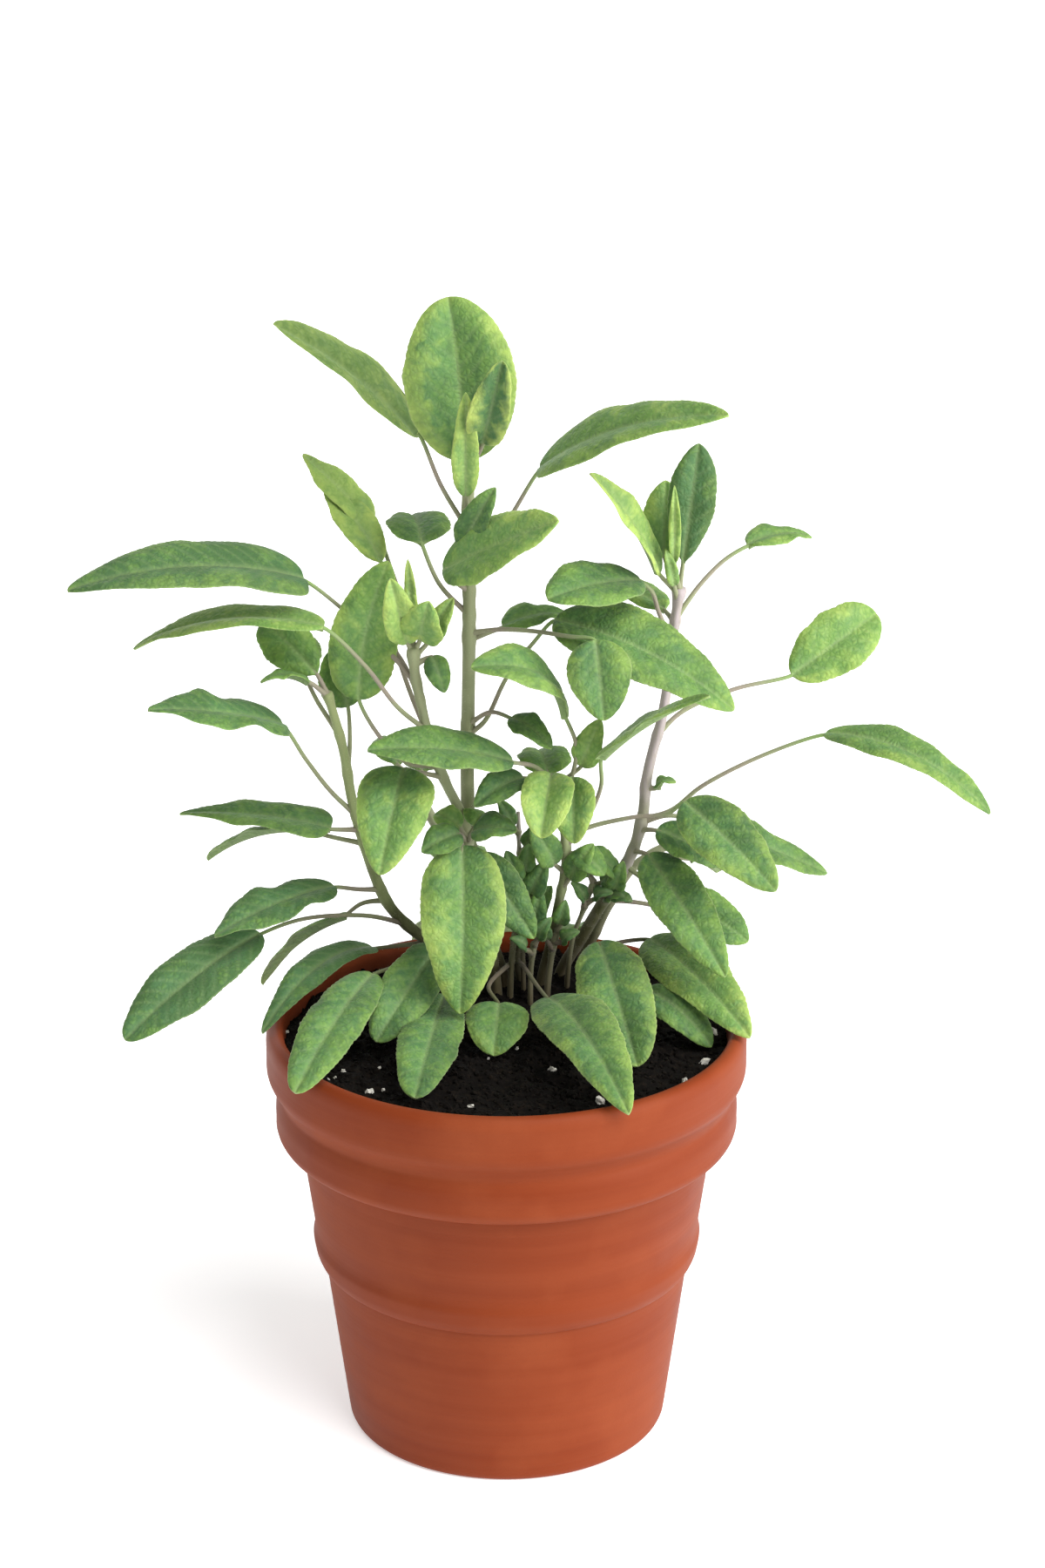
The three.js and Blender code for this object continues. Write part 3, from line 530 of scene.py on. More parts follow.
@dataclass
class Leaf:
    """How high on its stem a leaf starts, the places of its blade's base and tip, its width, how far
    its face is turned to the front in degrees, and how pale it is, which is partly the leaf's own
    colour and partly painted light and shade, paler where a leaf looked lit and darker where it looked
    shaded. Then how it differs from a plain one: the places that its stalk passes, its arch up and
    sway aside, its twist and fold in degrees, how rippled it is, how near its tip it is widest, how
    blunt, how yellow at the margin and how felted below."""

    node: float
    base: tuple
    tip: tuple
    width: float
    face: float
    tone: float
    via: tuple = ()
    arch: float = 2
    sway: float = 0
    twist: float = 0
    fold: float = 10
    ripple: float = 0.7
    belly: float = 0.72
    blunt: float = 0.6
    lime: float = 0.12
    felt: float = 1


@dataclass
class Shoot:
    """A shoot: its stem's radius at the foot and at the top, the places along its stem, its leaves,
    how mauve its stem is, and where it leaves the mix if it isn't one of STEM_FEET."""

    name: str
    thick: float
    thin: float
    stem: list
    leaves: list
    mauve: float = 0.25
    foot: tuple = None


# Each leaf's tone is partly its own colour and partly painted light and shade.
SHOOTS = [
    Shoot("shoot_main", thick=2.1, thin=1.6, mauve=0.2, stem=[
        (-6, -40, 28), (-10, -22, 26), (-11, 0, 24), (-10.8, 20, 22), (-10.5, 42, 20), (-10.5, 60, 18),
        (-10.8, 80, 16), (-10.5, 99, 14),
    ], leaves=[
        Leaf(88, (-12, 92, 17), (-16.5, 138.8, 24), 32, 70, 0.4, sway=0.9, belly=0.95, blunt=0.48,
            lime=0.75),
        Leaf(90, (-6.5, 97, 10), (-1, 120.5, 5), 14, 75, 0.05, via=[(-8.5, 93, 12)], fold=35, blunt=0.5,
            lime=1.6),
        Leaf(78, (-11.5, 82, 12), (-11.5, 111.5, 8), 8.5, 60, 0.85, fold=25, lime=0.6),
        Leaf(72, (-24.5, 100, 20), (-66.2, 131.3, 44), 23, -47, 0.8, via=[(-18.5, 85, 18)], arch=3,
            lime=0.6, felt=0.15),
        Leaf(64, (9.5, 90, 18), (63.5, 105, -8), 23, 24, 0.52, via=[(-2, 71.5, 18)], arch=5.3, belly=0.62,
            lime=0.4),
        Leaf(55, (-18, 61, 11), (15, 75, -6), 21, 40, 0.62, via=[(-15, 58, 14)], arch=1, lime=0.5),
        Leaf(62, (-12.5, 67, 13), (-3, 84.5, 9), 10, 55, 0.2, fold=25),
        Leaf(48, (-24, 69, 21), (-27, 76.5, 46), 19, 0, 0.3, via=[(-19, 57, 19)]),
        Leaf(41, (-1, 45, 22), (18, 48, 28), 14, 8, 0.35),
        Leaf(14, (14, 47, 11), (65, 21, -5), 24, 33, 0.38, via=[(-6, 18, 20), (0, 30, 18), (8, 40.5, 14)],
            arch=6, lime=0.35),
        Leaf(43, (25.5, 41, -4), (28, 18, -13), 18, 62, 0.3, via=[(-2, 44, 16), (8, 43.5, 8), (18, 42, 0)],
            lime=0.3),
        Leaf(17, (1.5, 19, 13), (13, 10, 3), 9, 28, 0.35, via=[(-4, 20.5, 16)]),
        Leaf(97, (-12, 106, 24), (-13, 119, 52), 22, 10, 0.6),
    ]),
    Shoot("shoot_second", thick=1.7, thin=1.2, mauve=0.2, stem=[
        (-5, -42, 22), (-9, -20, 20), (-13, -8, 18), (-17, 0, 16), (-21, 10, 14), (-24, 22, 12),
        (-26, 32, 11), (-26.5, 39, 10),
    ], leaves=[
        Leaf(37, (-28, 40, 9), (-33, 58.5, 2), 11, 65, 0.95, fold=20, lime=0.7),
        Leaf(37, (-24.5, 41, 9), (-22, 52, 0), 13, 60, 0.7, lime=0.7),
        Leaf(36, (-22.5, 40, 11), (-15, 53, 8), 8, 60, 0.85, fold=20, lime=0.9),
        Leaf(38, (-26.5, 45, 13), (-28, 64, 15), 4, 60, 0.95, fold=20, lime=0.8),
        Leaf(34, (-21, 36.5, 12), (-17.5, 26, 6), 7.5, 60, 0.3),
        Leaf(2, (-29, 4.5, 5), (-36, -26, -16), 22, 45, 0.5, via=[(-26, 3.5, 10)], arch=4, belly=0.6,
            lime=0.5),
        Leaf(5, (-42, 24, 18), (-33.5, 63.5, 21), 20, 70, 0.55, via=[(-28, 6, 16), (-36, 13.5, 17)],
            sway=-2, lime=0.6),
        Leaf(28, (-57.5, 58.5, 21), (-125, 55, -4), 27, 18, 0.15, via=[(-31, 35, 15), (-40, 44, 23)],
            arch=6, belly=0.5, blunt=0.55, lime=0.15),
        Leaf(15, (-52, 45, 7), (-106, 38.5, 22), 19, 5, 0.85, via=[(-31, 22, 8), (-40, 33.5, 8)], arch=5.5,
            blunt=0.5),
        Leaf(12, (-35.5, 63.5, 31), (-51.5, 84, 44), 12, 35, 0.95, via=[(-28, 28, 22), (-34, 48, 29)],
            sway=0.5, twist=15, belly=0.9, lime=0.8),
        Leaf(30, (-38, 75, 39), (-57.8, 94, 50), 11, 35, 1.1, via=[(-27.5, 44, 20), (-33, 62, 34)], sway=-1,
            twist=20, lime=0.7),
        Leaf(24, (-34, 42, 26), (-38, 51, 62), 18, 10, 0.75, via=[(-29, 34, 18)]),
    ]),
    Shoot("shoot_left", thick=2, thin=1.2, mauve=0.0, stem=[
        (-14, -50, 32), (-26, -42, 28), (-33, -35, 26), (-37, -27, 24), (-41, -15, 22), (-44, -4, 20),
        (-46, 8, 18), (-48, 16, 17), (-51, 26, 16),
    ], leaves=[
        Leaf(25, (-54, 31.5, 16), (-69, 46.5, 30), 15, 60, 0.5, belly=1.1, blunt=0.5),
        Leaf(25, (-56, 29.5, 13), (-70, 29, 8), 6, 0, 0.4),
        Leaf(3, (-45, 22, 23), (-50, 38, 28), 13, 60, 0.5, via=[(-44.5, 12, 20)]),
        Leaf(-9, (-63.5, 17, 15), (-102, 21, -10), 22, 15, 0.15, via=[(-50, -2, 19), (-57, 7, 17)],
            arch=1.6, ripple=1.6, belly=0.55, lime=0),
        Leaf(-13, (-50, -12.5, 18), (-93, -8.5, 28), 19, 10, 0.3, twist=10, belly=0.5),
        Leaf(-17, (-60, -12, 27), (-85, -21.5, 43), 14, -10, 0.35, via=[(-50, -15, 25)], arch=2.4),
        Leaf(-30, (-49, -29, 19), (-83, -43.5, -6), 18, 12, 0.05, via=[(-42, -30, 21)], arch=2.2,
            ripple=1.6, belly=0.75, lime=0),
        Leaf(-40, (-70, -42.5, 10), (-108.5, -73, -22), 20, 28, 0, via=[(-40, -37.5, 20), (-58, -38.5, 14)],
            arch=3.6, belly=0.9, blunt=0.5, lime=0),
        Leaf(-33, (-46, -37, 29), (-69.5, -57, 46), 12, -6, 0.3, via=[(-41, -34, 27)], arch=3),
        Leaf(-45, (-38, -46.5, 28), (-69.5, -71, -16), 13, 12, 0, via=[(-30, -46, 29)], arch=8, belly=0.65,
            lime=0),
        Leaf(14, (-58, 33, 29), (-62, 41, 60), 15, 10, 0.45, via=[(-54, 24, 22)]),
    ]),
    Shoot("shoot_right", thick=1.9, thin=1.2, mauve=0.95, stem=[
        (22, -43, 33), (28, -33, 30), (33, -25, 28), (36.5, -18, 27), (39, -9, 26), (40, 1, 25),
        (42, 10, 24), (44, 17, 23), (46, 28, 22), (48, 45, 21), (49.5, 56, 20),
    ], leaves=[
        Leaf(40, (38.5, 58, 14), (12, 52.5, -5), 21, 25, 0.3, via=[(43.5, 49, 19), (41.5, 55, 16)],
            belly=0.95, blunt=0.5),
        Leaf(-10, (91, 14.5, 17), (138, -8.5, -8), 16, 12, 0.5,
            via=[(47, -7.5, 24), (56, -0.5, 22), (74, 8.5, 20)], arch=7, lime=0.3),
        Leaf(14, (81.5, 31, 29), (105.5, 48.5, 42), 19, 65, 0.65, via=[(50, 20.5, 25), (65, 27, 27)],
            belly=1.1, blunt=0.42, lime=0.5),
        Leaf(47, (69, 68.3, 26), (87, 70.3, 37), 13, 8, 0.55, via=[(55.5, 57, 23), (62.5, 64, 25)]),
        Leaf(54, (44, 60, 16), (24, 88.5, 1), 12, 30, 0.85, fold=25, lime=0.8),
        Leaf(55, (45, 65, 19), (45.5, 86.5, 24), 14, 70, 0.6, lime=0.5),
        Leaf(55, (50.5, 63, 17), (55, 97, 14), 14, 72, -0.05, belly=1.25),
        Leaf(55, (48, 63, 14), (48, 85, 10), 4, 60, 0.95, fold=25, lime=0.9),
        Leaf(52, (48, 56.5, 16), (45.5, 67, 12), 4, 60, 0.8),
        Leaf(-19, (40.5, -20, 20), (62.5, -55, -11), 17, 50, 0.35, arch=3, lime=0.2),
        Leaf(-23, (46, -31, 26), (69, -45, 16), 15, 40, 0.35, via=[(39, -27, 26)], belly=1, lime=0.1),
        Leaf(-11, (54, -10, 27), (91.5, -25.5, 40), 16, 25, 0.3, via=[(46, -9, 25)], arch=0.5, lime=0.15),
        Leaf(-13, (43, -13, 21), (61.5, -23.5, 17), 13, 32, 0.25),
        Leaf(-1, (42.5, -1, 24), (48.5, 0.5, 20), 4, 30, 0.5),
        Leaf(-30, (31, -31, 27), (33.5, -22, 23), 6, 50, 0.3),
        Leaf(-33, (28, -33, 28), (35.5, -33, 23), 5, 30, 0.3),
        Leaf(-28, (32, -26, 27), (21, -19, 23), 9, 35, 0.3),
        Leaf(30, (46, 34, 28), (42, 40, 66), 18, 10, 0.6),
        Leaf(46, (45, 50, 26), (26, 57, 52), 13, 10, 0.6),
    ]),
    Shoot("shoot_centre_right", thick=1.5, thin=1.1, mauve=0.1, stem=[
        (12.5, -46, 26), (15, -34, 22), (17, -23, 18), (16.5, -13, 14), (14, -4, 11), (13, 1, 10),
    ], leaves=[
        Leaf(-3, (13, 3, 6), (10, -15.5, -9), 17, 42, 0.85, fold=28, belly=0.7, blunt=0.5, lime=0.9),
        Leaf(-5, (19, 2, 5), (19.5, -17, -3), 14, 55, 0.6, twist=20, fold=24, lime=0.7),
        Leaf(0, (12, 3, 11), (9, 9.5, 30), 16, 0, 0.5),
        Leaf(0, (5, 2, 8), (-9, -6.5, 0), 11, 35, 0.15, fold=20),
        Leaf(1, (2, 6.5, 3), (-39.5, 9.5, -10), 20, 20, 0.35, via=[(8, 5, 7)], arch=2.5, belly=0.8),
        Leaf(-6, (17.5, 19, 4), (-10, 33, -10), 20, 20, 0.4, via=[(19, 3, 9), (20, 11, 7)], arch=8,
            belly=1.2, lime=0.3),
        Leaf(-1, (21.5, 5, 9), (27, 18.5, 7), 9, 50, 0.75, via=[(19, 3, 10)]),
        Leaf(-18, (27, 8, 2), (58, 25, -23), 15, 12, 0.6, via=[(22, -12, 13), (27, -1, 8)], belly=0.6,
            lime=0.35),
        Leaf(-17, (51, -5, 13), (77, -30.5, -10), 19, 45, 0.25,
            via=[(22, -13, 19), (36, -9.5, 18), (46, -8.5, 16)], lime=0.4),
        Leaf(-20, (20, -19.5, 16), (28, -26, 12), 9, 40, 0.45),
        Leaf(-25, (14, -23, 15), (7, -12, 10), 9, 55, 0.3),
        Leaf(-30, (18, -27, 17), (25, -17, 13), 8, 55, 0.4),
    ]),
    Shoot("shoot_front", thick=1.6, thin=1.2, stem=[
        (-13, -50, 13), (-13, -35, 12), (-12, -24, 11), (-11, -16, 10),
    ], leaves=[
        Leaf(-20, (-12.5, -17.5, 5), (-13, -65.5, -16), 25, 70, 0.45, arch=4, sway=-0.5, belly=0.66,
            lime=0.75),
        Leaf(-17, (-13, -14, 7), (-24, -19.5, 1), 10, 45, 0.3),
        Leaf(-17, (-9.5, -13.5, 7), (3, -13.5, 2), 11, 30, 0.2),
        Leaf(-16, (-13, -12.5, 10), (-20.5, -9, 13), 9, 30, 0.7, lime=0.4),
        Leaf(-16, (-9, -12, 12), (-5, -9.5, 20), 11, 20, 0.6),
        Leaf(-22, (-8, -20, 9), (8, -44, 5), 13, 60, 0.15),
        Leaf(-46, (-19, -46, 8), (-37, -73.5, -20), 17, 45, 0.2, belly=0.85, blunt=0.45),
        Leaf(-50, (-38, -54, -2), (-60, -88, -52), 17, 30, 0.25, via=[(-26, -51, 6)], arch=4, belly=0.9,
            blunt=0.42),
        Leaf(-52, (-17.5, -60, 4), (-26, -89.5, -50), 18, 30, 0.2, belly=1, blunt=0.42),
        Leaf(-42, (-14, -38, 26), (-16, -36, 44), 14, 0, 0.6, via=[(-13, -40, 20)]),
    ]),
    Shoot("shoot_low", thick=1.4, thin=1, stem=[
        (3, -50, 30), (3, -43, 28),
    ], leaves=[
        Leaf(-50, (-2, -62.5, 1), (-3.5, -77.5, -18), 19, 20, 0.4, via=[(-1, -53, 18), (-5, -58, 8)],
            blunt=0.5, lime=0.3),
        Leaf(-50, (12, -61, -2), (35, -94, -68), 21, 30, 0.3, via=[(5, -52, 22), (8.5, -57, 10)], arch=7,
            lime=0.45),
        Leaf(-44, (4, -40, 25), (7, -24, 19), 12, 60, 0.2),
        Leaf(-44, (6, -41, 27), (13, -29, 25), 8, 50, 0.25),
    ]),
    Shoot("shoot_low_right", thick=1.4, thin=1.1, stem=[
        (24, -54, 20), (24.5, -46, 21),
    ], leaves=[
        Leaf(-48, (26.5, -45, 18), (37.5, -80.5, -25), 22, 60, 0.25, arch=3, belly=0.9, blunt=0.45,
            lime=0.5),
        Leaf(-54, (40, -58.5, 5), (58.5, -75, -10), 14, 30, 0.3, via=[(33, -56, 13)], arch=4),
        Leaf(-48, (41, -44, 29), (69.5, -72.3, -16), 20, 38, 0.6, via=[(33, -45, 27)], arch=4.5, lime=0.6),
    ]),
    Shoot("shoot_back_left", thick=1.7, thin=1.2, stem=[
        (-14, -42, 46), (-14, -26, 47), (-20, -12, 49), (-27, 2, 51),
    ], leaves=[
        Leaf(-42, (-11, -38, 54), (-22, -56, 98), 20, 10, 0.5, arch=7),
        Leaf(-36, (-9, -34, 54), (6, -52, 98), 18, 10, 0.55, arch=7),
        Leaf(-24, (-14, -22, 54), (-14, -22, 96), 19, 0, 0.6, arch=3),
        Leaf(-10, (-26, -8, 52), (-40, -2, 84), 16, 0, 0.5, arch=3),
        Leaf(0, (-24, 4, 56), (-18, 10, 92), 18, 10, 0.4),
        Leaf(2, (-31, 6, 56), (-33, 13, 90), 14, 10, 0.4),
    ]),
    Shoot("shoot_back_right", thick=1.7, thin=1.2, stem=[
        (25, -43, 45), (30, -33, 46), (36, -24, 48), (45, -18, 51), (52, -15, 54),
    ], leaves=[
        Leaf(-42, (23, -41, 53), (13, -58, 98), 20, 10, 0.4, arch=7),
        Leaf(-33, (49, -36, 62), (57, -55, 88), 15, 10, 0.35, via=[(39, -34, 52)], arch=5),
        Leaf(-20, (53, -21, 58), (60, -25, 96), 18, 0, 0.6, arch=3),
        Leaf(-16, (56, -15, 60), (66, -18, 96), 17, 0, 0.5, arch=3),
        Leaf(-15, (54, -18, 56), (70, -24, 66), 10, 10, 0.7),
    ]),
]


def seen(place):
    """The point in millimetres that is seen at a place given as (across, up, back)."""
    across, up, back = place
    on_plane = np.array([across, up * math.sin(VIEW_TILT), VIEW_CENTRE[2] + up * math.cos(VIEW_TILT)])
    return EYE + (on_plane - EYE) * (back - EYE[1]) / (on_plane[1] - EYE[1])


def unit(vectors):
    """Vectors at length one."""
    return vectors / np.maximum(np.linalg.norm(vectors, axis=-1, keepdims=True), 1e-9)


def spline(knots, pitch):
    """Evenly spaced points along a smooth curve through the knots, about a pitch apart."""
    knots = [np.asarray(knot, float) for knot in knots]
    knots = [2 * knots[0] - knots[1], *knots, 2 * knots[-1] - knots[-2]]
    t = np.linspace(0, 1, 24, endpoint=False)[:, None]
    fine = []
    for k0, k1, k2, k3 in zip(knots, knots[1:], knots[2:], knots[3:]):
        d0, d1, d2 = (math.sqrt(np.linalg.norm(b - a)) for a, b in ((k0, k1), (k1, k2), (k2, k3)))
        start = ((k1 - k0) / d0 - (k2 - k0) / (d0 + d1) + (k2 - k1) / d1) * d1
        end = ((k2 - k1) / d1 - (k3 - k1) / (d1 + d2) + (k3 - k2) / d2) * d1
        square, cube = 3 * (k2 - k1) - 2 * start - end, 2 * (k1 - k2) + start + end
        fine.append(k1 + start * t + square * t**2 + cube * t**3)
    fine = np.concatenate([*fine, knots[-2][None]])
    run = np.concatenate([[0], np.cumsum(np.linalg.norm(np.diff(fine, axis=0), axis=1))])
    places = np.linspace(0, run[-1], max(3, round(run[-1] / pitch) + 1))
    return np.stack([np.interp(places, run, fine[:, axis]) for axis in range(3)], 1)


def carried(path, normal):
    """Normals along a path: the first one, carried on without twist."""
    normals = []
    for forward in unit(np.gradient(path, axis=0)):
        normal = unit(normal - normal.dot(forward) * forward)
        normals.append(normal)
    return np.array(normals)


def tube(path, normals, radii, sides, square=0.0):
    """Points and faces of a rod round a path, and how far along it each point is. square raises four
    soft corners on it."""
    forward = unit(np.gradient(path, axis=0))
    across = np.cross(forward, normals)
    turn = np.arange(sides) * math.tau / sides
    reach = radii[:, None] * (1 + square * np.cos(4 * turn))[None]
    ring = normals[:, None] * np.cos(turn)[None, :, None] + across[:, None] * np.sin(turn)[None, :, None]
    points = (path[:, None] + ring * reach[..., None]).reshape(-1, 3)
    along = np.append(np.repeat(np.linspace(0, 1, len(path)), sides), (0, 1))
    return np.concatenate([points, path[:1], path[-1:]]), ring_faces(len(path), sides), along


def on_stem(shoot, up):
    """Where the stem is, between the places given for it, at a height as seen."""
    ups = [place[1] for place in shoot.stem]
    return [np.interp(up, ups, [place[axis] for place in shoot.stem]) for axis in range(3)]


def stem_path(shoot):
    """The stem from its buried end up: straight in the mix, then through its measured places."""
    x, y = shoot.foot or STEM_FEET[shoot.name]
    surface = soil_height(x, y)
    buried = [(x, y, surface + rise) for rise in (-ROOT_DEPTH, -ROOT_DEPTH / 3, STRAIGHT_RISE)]
    return spline([*buried, *[seen(place) for place in shoot.stem]], STEM_PITCH)


def midrib(leaf, rows):
    """Points, directions and upward normals along a blade's midrib, and how far along each is."""
    base, tip = seen(leaf.base), seen(leaf.tip)
    axis = unit(tip - base)
    turn = math.radians(leaf.face)
    up = np.array([0, -math.sin(turn), math.cos(turn)])
    up = unit(up - up.dot(axis) * axis)
    middle = (base + tip) / 2 + up * 2 * leaf.arch + np.cross(axis, up) * 2 * leaf.sway
    even = np.linspace(0, 1, rows)
    along = 0.45 * even + 0.55 * (0.5 - 0.5 * np.cos(math.pi * even))
    t = along[:, None]
    points = (1 - t) ** 2 * base + 2 * t * (1 - t) * middle + t**2 * tip
    forward = unit((1 - t) * (middle - base) + t * (tip - middle))
    normals = unit(up - (forward @ up)[:, None] * forward)
    twist = np.radians(leaf.twist) * t
    normals = normals * np.cos(twist) + np.cross(forward, normals) * np.sin(twist)
    return points, forward, normals, along


def near_vein(x, y):
    """How near a place on a blade is to a side vein, from 0 to 1. The veins leave the midrib in
    turn on either side, lean forward and curve toward the tip."""
    away = np.abs(x)
    phase = (y - VEIN_LEAN * away - VEIN_CURVE * away**2) / VEIN_SPACING + 0.5 * (x > 0)
    gap = np.abs(phase - np.round(phase)) * VEIN_SPACING
    return np.exp(-((gap / VEIN_WIDTH) ** 2))


def pebbles(x, y, size, seed):
    """Puffed cells between fine veins: 0 along their edges and up to 1 in their middles."""
    i, j = np.floor(x / size), np.floor(y / size)
    nearest = np.full(x.shape, 9.0)
    second = np.full(x.shape, 9.0)
    for di in (-1, 0, 1):
        for dj in (-1, 0, 1):
            cx = (i + di + 0.2 + 0.6 * chance(i + di, j + dj, seed)) * size
            cy = (j + dj + 0.2 + 0.6 * chance(i + di, j + dj, seed + 5)) * size
            far = np.hypot(x - cx, y - cy)
            second = np.minimum(second, np.maximum(nearest, far))
            nearest = np.minimum(nearest, far)
    return np.clip((second - nearest) / (0.55 * size), 0, 1)


def margin_teeth(y, side, seed):
    """How far the scalloped, uneven margin stands out at a distance along either side of a blade."""
    scallops = np.abs(np.sin(math.pi * (y / TOOTH_PITCH + 0.35 * chance(seed, side > 0, 2)))) ** 0.7
    return scallops - 0.5 + 2.2 * (lumps(y, 9 * side, WAVE_LENGTH, seed) - 0.5)


def blade_lift(leaf, x, s, t, half, seed):
    """How far a blade is lifted off its midrib's level by its fold, by the ripple of its margin and
    by its plump halves, which roll down at the margin."""
    folded = np.abs(x) * math.sin(math.radians(leaf.fold)) * s**0.2
    swell = np.sin(math.tau * (1.6 * s + 0.25 * np.sign(t)))
    flutter = np.sin(math.tau * (3.7 * s + chance(seed, 1, 4)) + 1.3 * np.sign(t))
    ripple = leaf.ripple * np.sin(math.pi * s) * np.abs(t) ** 1.6 * (swell + 0.35 * flutter)
    plump = 0.07 * np.sin(math.pi * np.abs(t)) - 0.3 * np.clip(np.abs(t) - 0.6, 0, 1) ** 1.5
    return folded + ripple + half * plump


def blade_faces(x, y, s, t, size, margin, seed):
    """How far a blade's upper and under faces stand off its middle, with its midrib, side veins and
    pebbles, and how near each place is to the midrib and to a side vein."""
    fade = size * np.clip(2.2 * np.sin(math.pi * s), 0, 1)
    rib = np.exp(-((x / (RIB_WIDTH + 0.25 * (1 - s))) ** 2))
    vein = fade * near_vein(x, y + 20 * chance(seed, 2, 6)) * (1 - rib) * (1 - margin)
    cells = pebbles(x, y - VEIN_LEAN * np.abs(x), PEBBLE_SIZE, seed)
    cells = fade * cells * (1 - rib) * (1 - 0.8 * margin)
    relief = PEBBLE_RISE * cells - VEIN_SINK * vein - RIB_SINK * rib * (1 - 0.5 * s)
    under_rib = (STALK_RADIUS * 2 * (1 - s) ** 1.2 + 0.25) * np.exp(-((x / UNDER_RIB_WIDTH) ** 2))
    thick = BLADE_THICKNESS / 2 * np.sqrt(np.clip(1 - np.abs(t) ** 5, 0, 1))
    top = thick + relief * (1 - margin)
    bottom = thick + under_rib + UNDER_VEIN_RISE * vein - UNDER_PEBBLE_SINK * cells
    return top, bottom, rib, vein


def blade_marks(leaf, x, y, s, t, above, rib, vein, seed):
    """What the leaf's material reads at each point of a blade, and last at its base and its tip."""
    marks = {
        "leaf_vein": np.clip(rib * (1 - 0.5 * s) + 0.3 * vein, 0, 1),
        "leaf_edge": np.maximum(np.abs(t), (2 * s - 1) ** 5) ** 2,
        "leaf_under": leaf.felt * ~above * (np.abs(t) < 0.985),
        # The tone carries painted shade across the blade: one half darker than the other, as folded halves
        # catch the light differently, and the base darker than the tip.
        "leaf_tone": leaf.tone + 0.16 * (chance(seed, 3, 8) - 0.5) * t + 0.2 * (s - 0.5),
        "leaf_lime": leaf.lime,
        "u": x,
        "v": y,
    }
    for name, values in marks.items():
        values = np.broadcast_to(values, x.shape).ravel()
        marks[name] = np.append(values, values[[0, -1]])
    return marks


def blade(leaf, seed):
    """A leaf blade as rings round its midrib, upper face first, with its marks for the material. s
    goes from its base to its tip and t from margin to margin, and x and y are in millimetres."""
    length = np.linalg.norm(seen(leaf.tip) - seen(leaf.base))
    rows = max(12, round(length / BLADE_GRID))
    halves = max(5, round(leaf.width / 2 / BLADE_GRID))
    points, forward, normals, along = midrib(leaf, rows)
    share = np.sin(np.linspace(-1, 1, 2 * halves + 1) * SIDE_TURN) / math.sin(SIDE_TURN)
    above = np.arange(4 * halves) < share.size
    share = np.concatenate([share, share[-2:0:-1]])
    s, t = along[:, None], share[None]
    outline = np.sin(math.pi * np.clip(s, 0, 0.9995) ** leaf.belly) ** leaf.blunt
    half = np.maximum(leaf.width / 2 * outline, STALK_RADIUS * (1 - 0.75 * s))
    margin = np.clip((np.abs(t) - MARGIN_START) / (1 - MARGIN_START), 0, 1) ** 2
    size = min(1.0, leaf.width / FULL_WIDTH)
    y = s * length + 0 * t
    teeth = TOOTH_DEPTH * size * margin * np.sin(math.pi * s) ** 0.5 * margin_teeth(y, np.sign(t), seed)
    x = t * half + np.sign(t) * teeth
    top, bottom, rib, vein = blade_faces(x, y, s, t, size, margin, seed)
    rise = blade_lift(leaf, x, s, t, half, seed) + np.where(above, top, -bottom)
    aside = x * math.cos(math.radians(leaf.fold))
    right = np.cross(forward, normals)
    spots = points[:, None] + right[:, None] * aside[..., None] + normals[:, None] * rise[..., None]
    spots = np.concatenate([spots.reshape(-1, 3), points[:1], points[-1:]])
    marks = blade_marks(leaf, x, y, s, t, above, rib, vein, seed)
    return spots, ring_faces(rows, share.size), marks


def stalk(shoot, leaf):
    """A leaf stalk from its node on the stem to a little way inside the blade."""
    points, _, normals, _ = midrib(leaf, 60)
    run = np.cumsum(np.linalg.norm(np.diff(points, axis=0), axis=1))
    end = 1 + np.searchsorted(run, STALK_SINK)
    under = [points[k] - STALK_RADIUS * drop * normals[k] for k, drop in ((0, 0.7), (end, 1.3))]
    route = [seen(on_stem(shoot, leaf.node)), *[seen(place) for place in leaf.via]]
    path = spline([*route, *under], STALK_PITCH)
    facing = carried(path[::-1], normals[0])[::-1]
    share = np.linspace(0, 1, len(path))
    swollen = STALK_FOOT * np.exp(-share * np.linalg.norm(path[-1] - path[0]) / 1.6)
    radii = STALK_RADIUS * (1.1 - 0.3 * share) + swollen
    radii[-1] *= 0.5
    return tube(path, facing, radii, STALK_SIDES)


def stem(shoot):
    """The shoot's four-sided stem, a little swollen at each leaf's node."""
    path = stem_path(shoot)
    radii = np.linspace(shoot.thick, shoot.thin, len(path))
    for leaf in shoot.leaves:
        node = seen(on_stem(shoot, leaf.node))
        radii += NODE_SWELL * np.exp(-((np.linalg.norm(path - node, axis=1) / NODE_LENGTH) ** 2))
    return tube(path, carried(path, np.array([1.0, 0, 0])), radii, STEM_SIDES, STEM_CORNERS)


def leaf_patterns(tree):
    """Clouds, blots and flecks all over a leaf, and the puffed cells of its pebbled skin. The cells
    are drawn 1.5 mm wide, half as coarse again as real ones, so that they show."""
    place = add(tree, "ShaderNodeTexCoord").node.outputs["Object"]
    clouds, blots, flecks = (
        add(tree, "ShaderNodeTexNoise", {"Vector": place, **measures}) for measures in (
            {"Scale": 75.0, "Detail": 2.0},
            {"Scale": 210.0, "Detail": 3.0, "Distortion": 0.6},
            {"Scale": 700.0, "Detail": 2.0},
        )
    )
    across = add(tree, "ShaderNodeUVMap", uv_map="blade")
    cells = {"Vector": across, "Scale": 66.0}
    return clouds, blots, flecks, add(tree, "ShaderNodeTexVoronoi", cells, feature="DISTANCE_TO_EDGE")


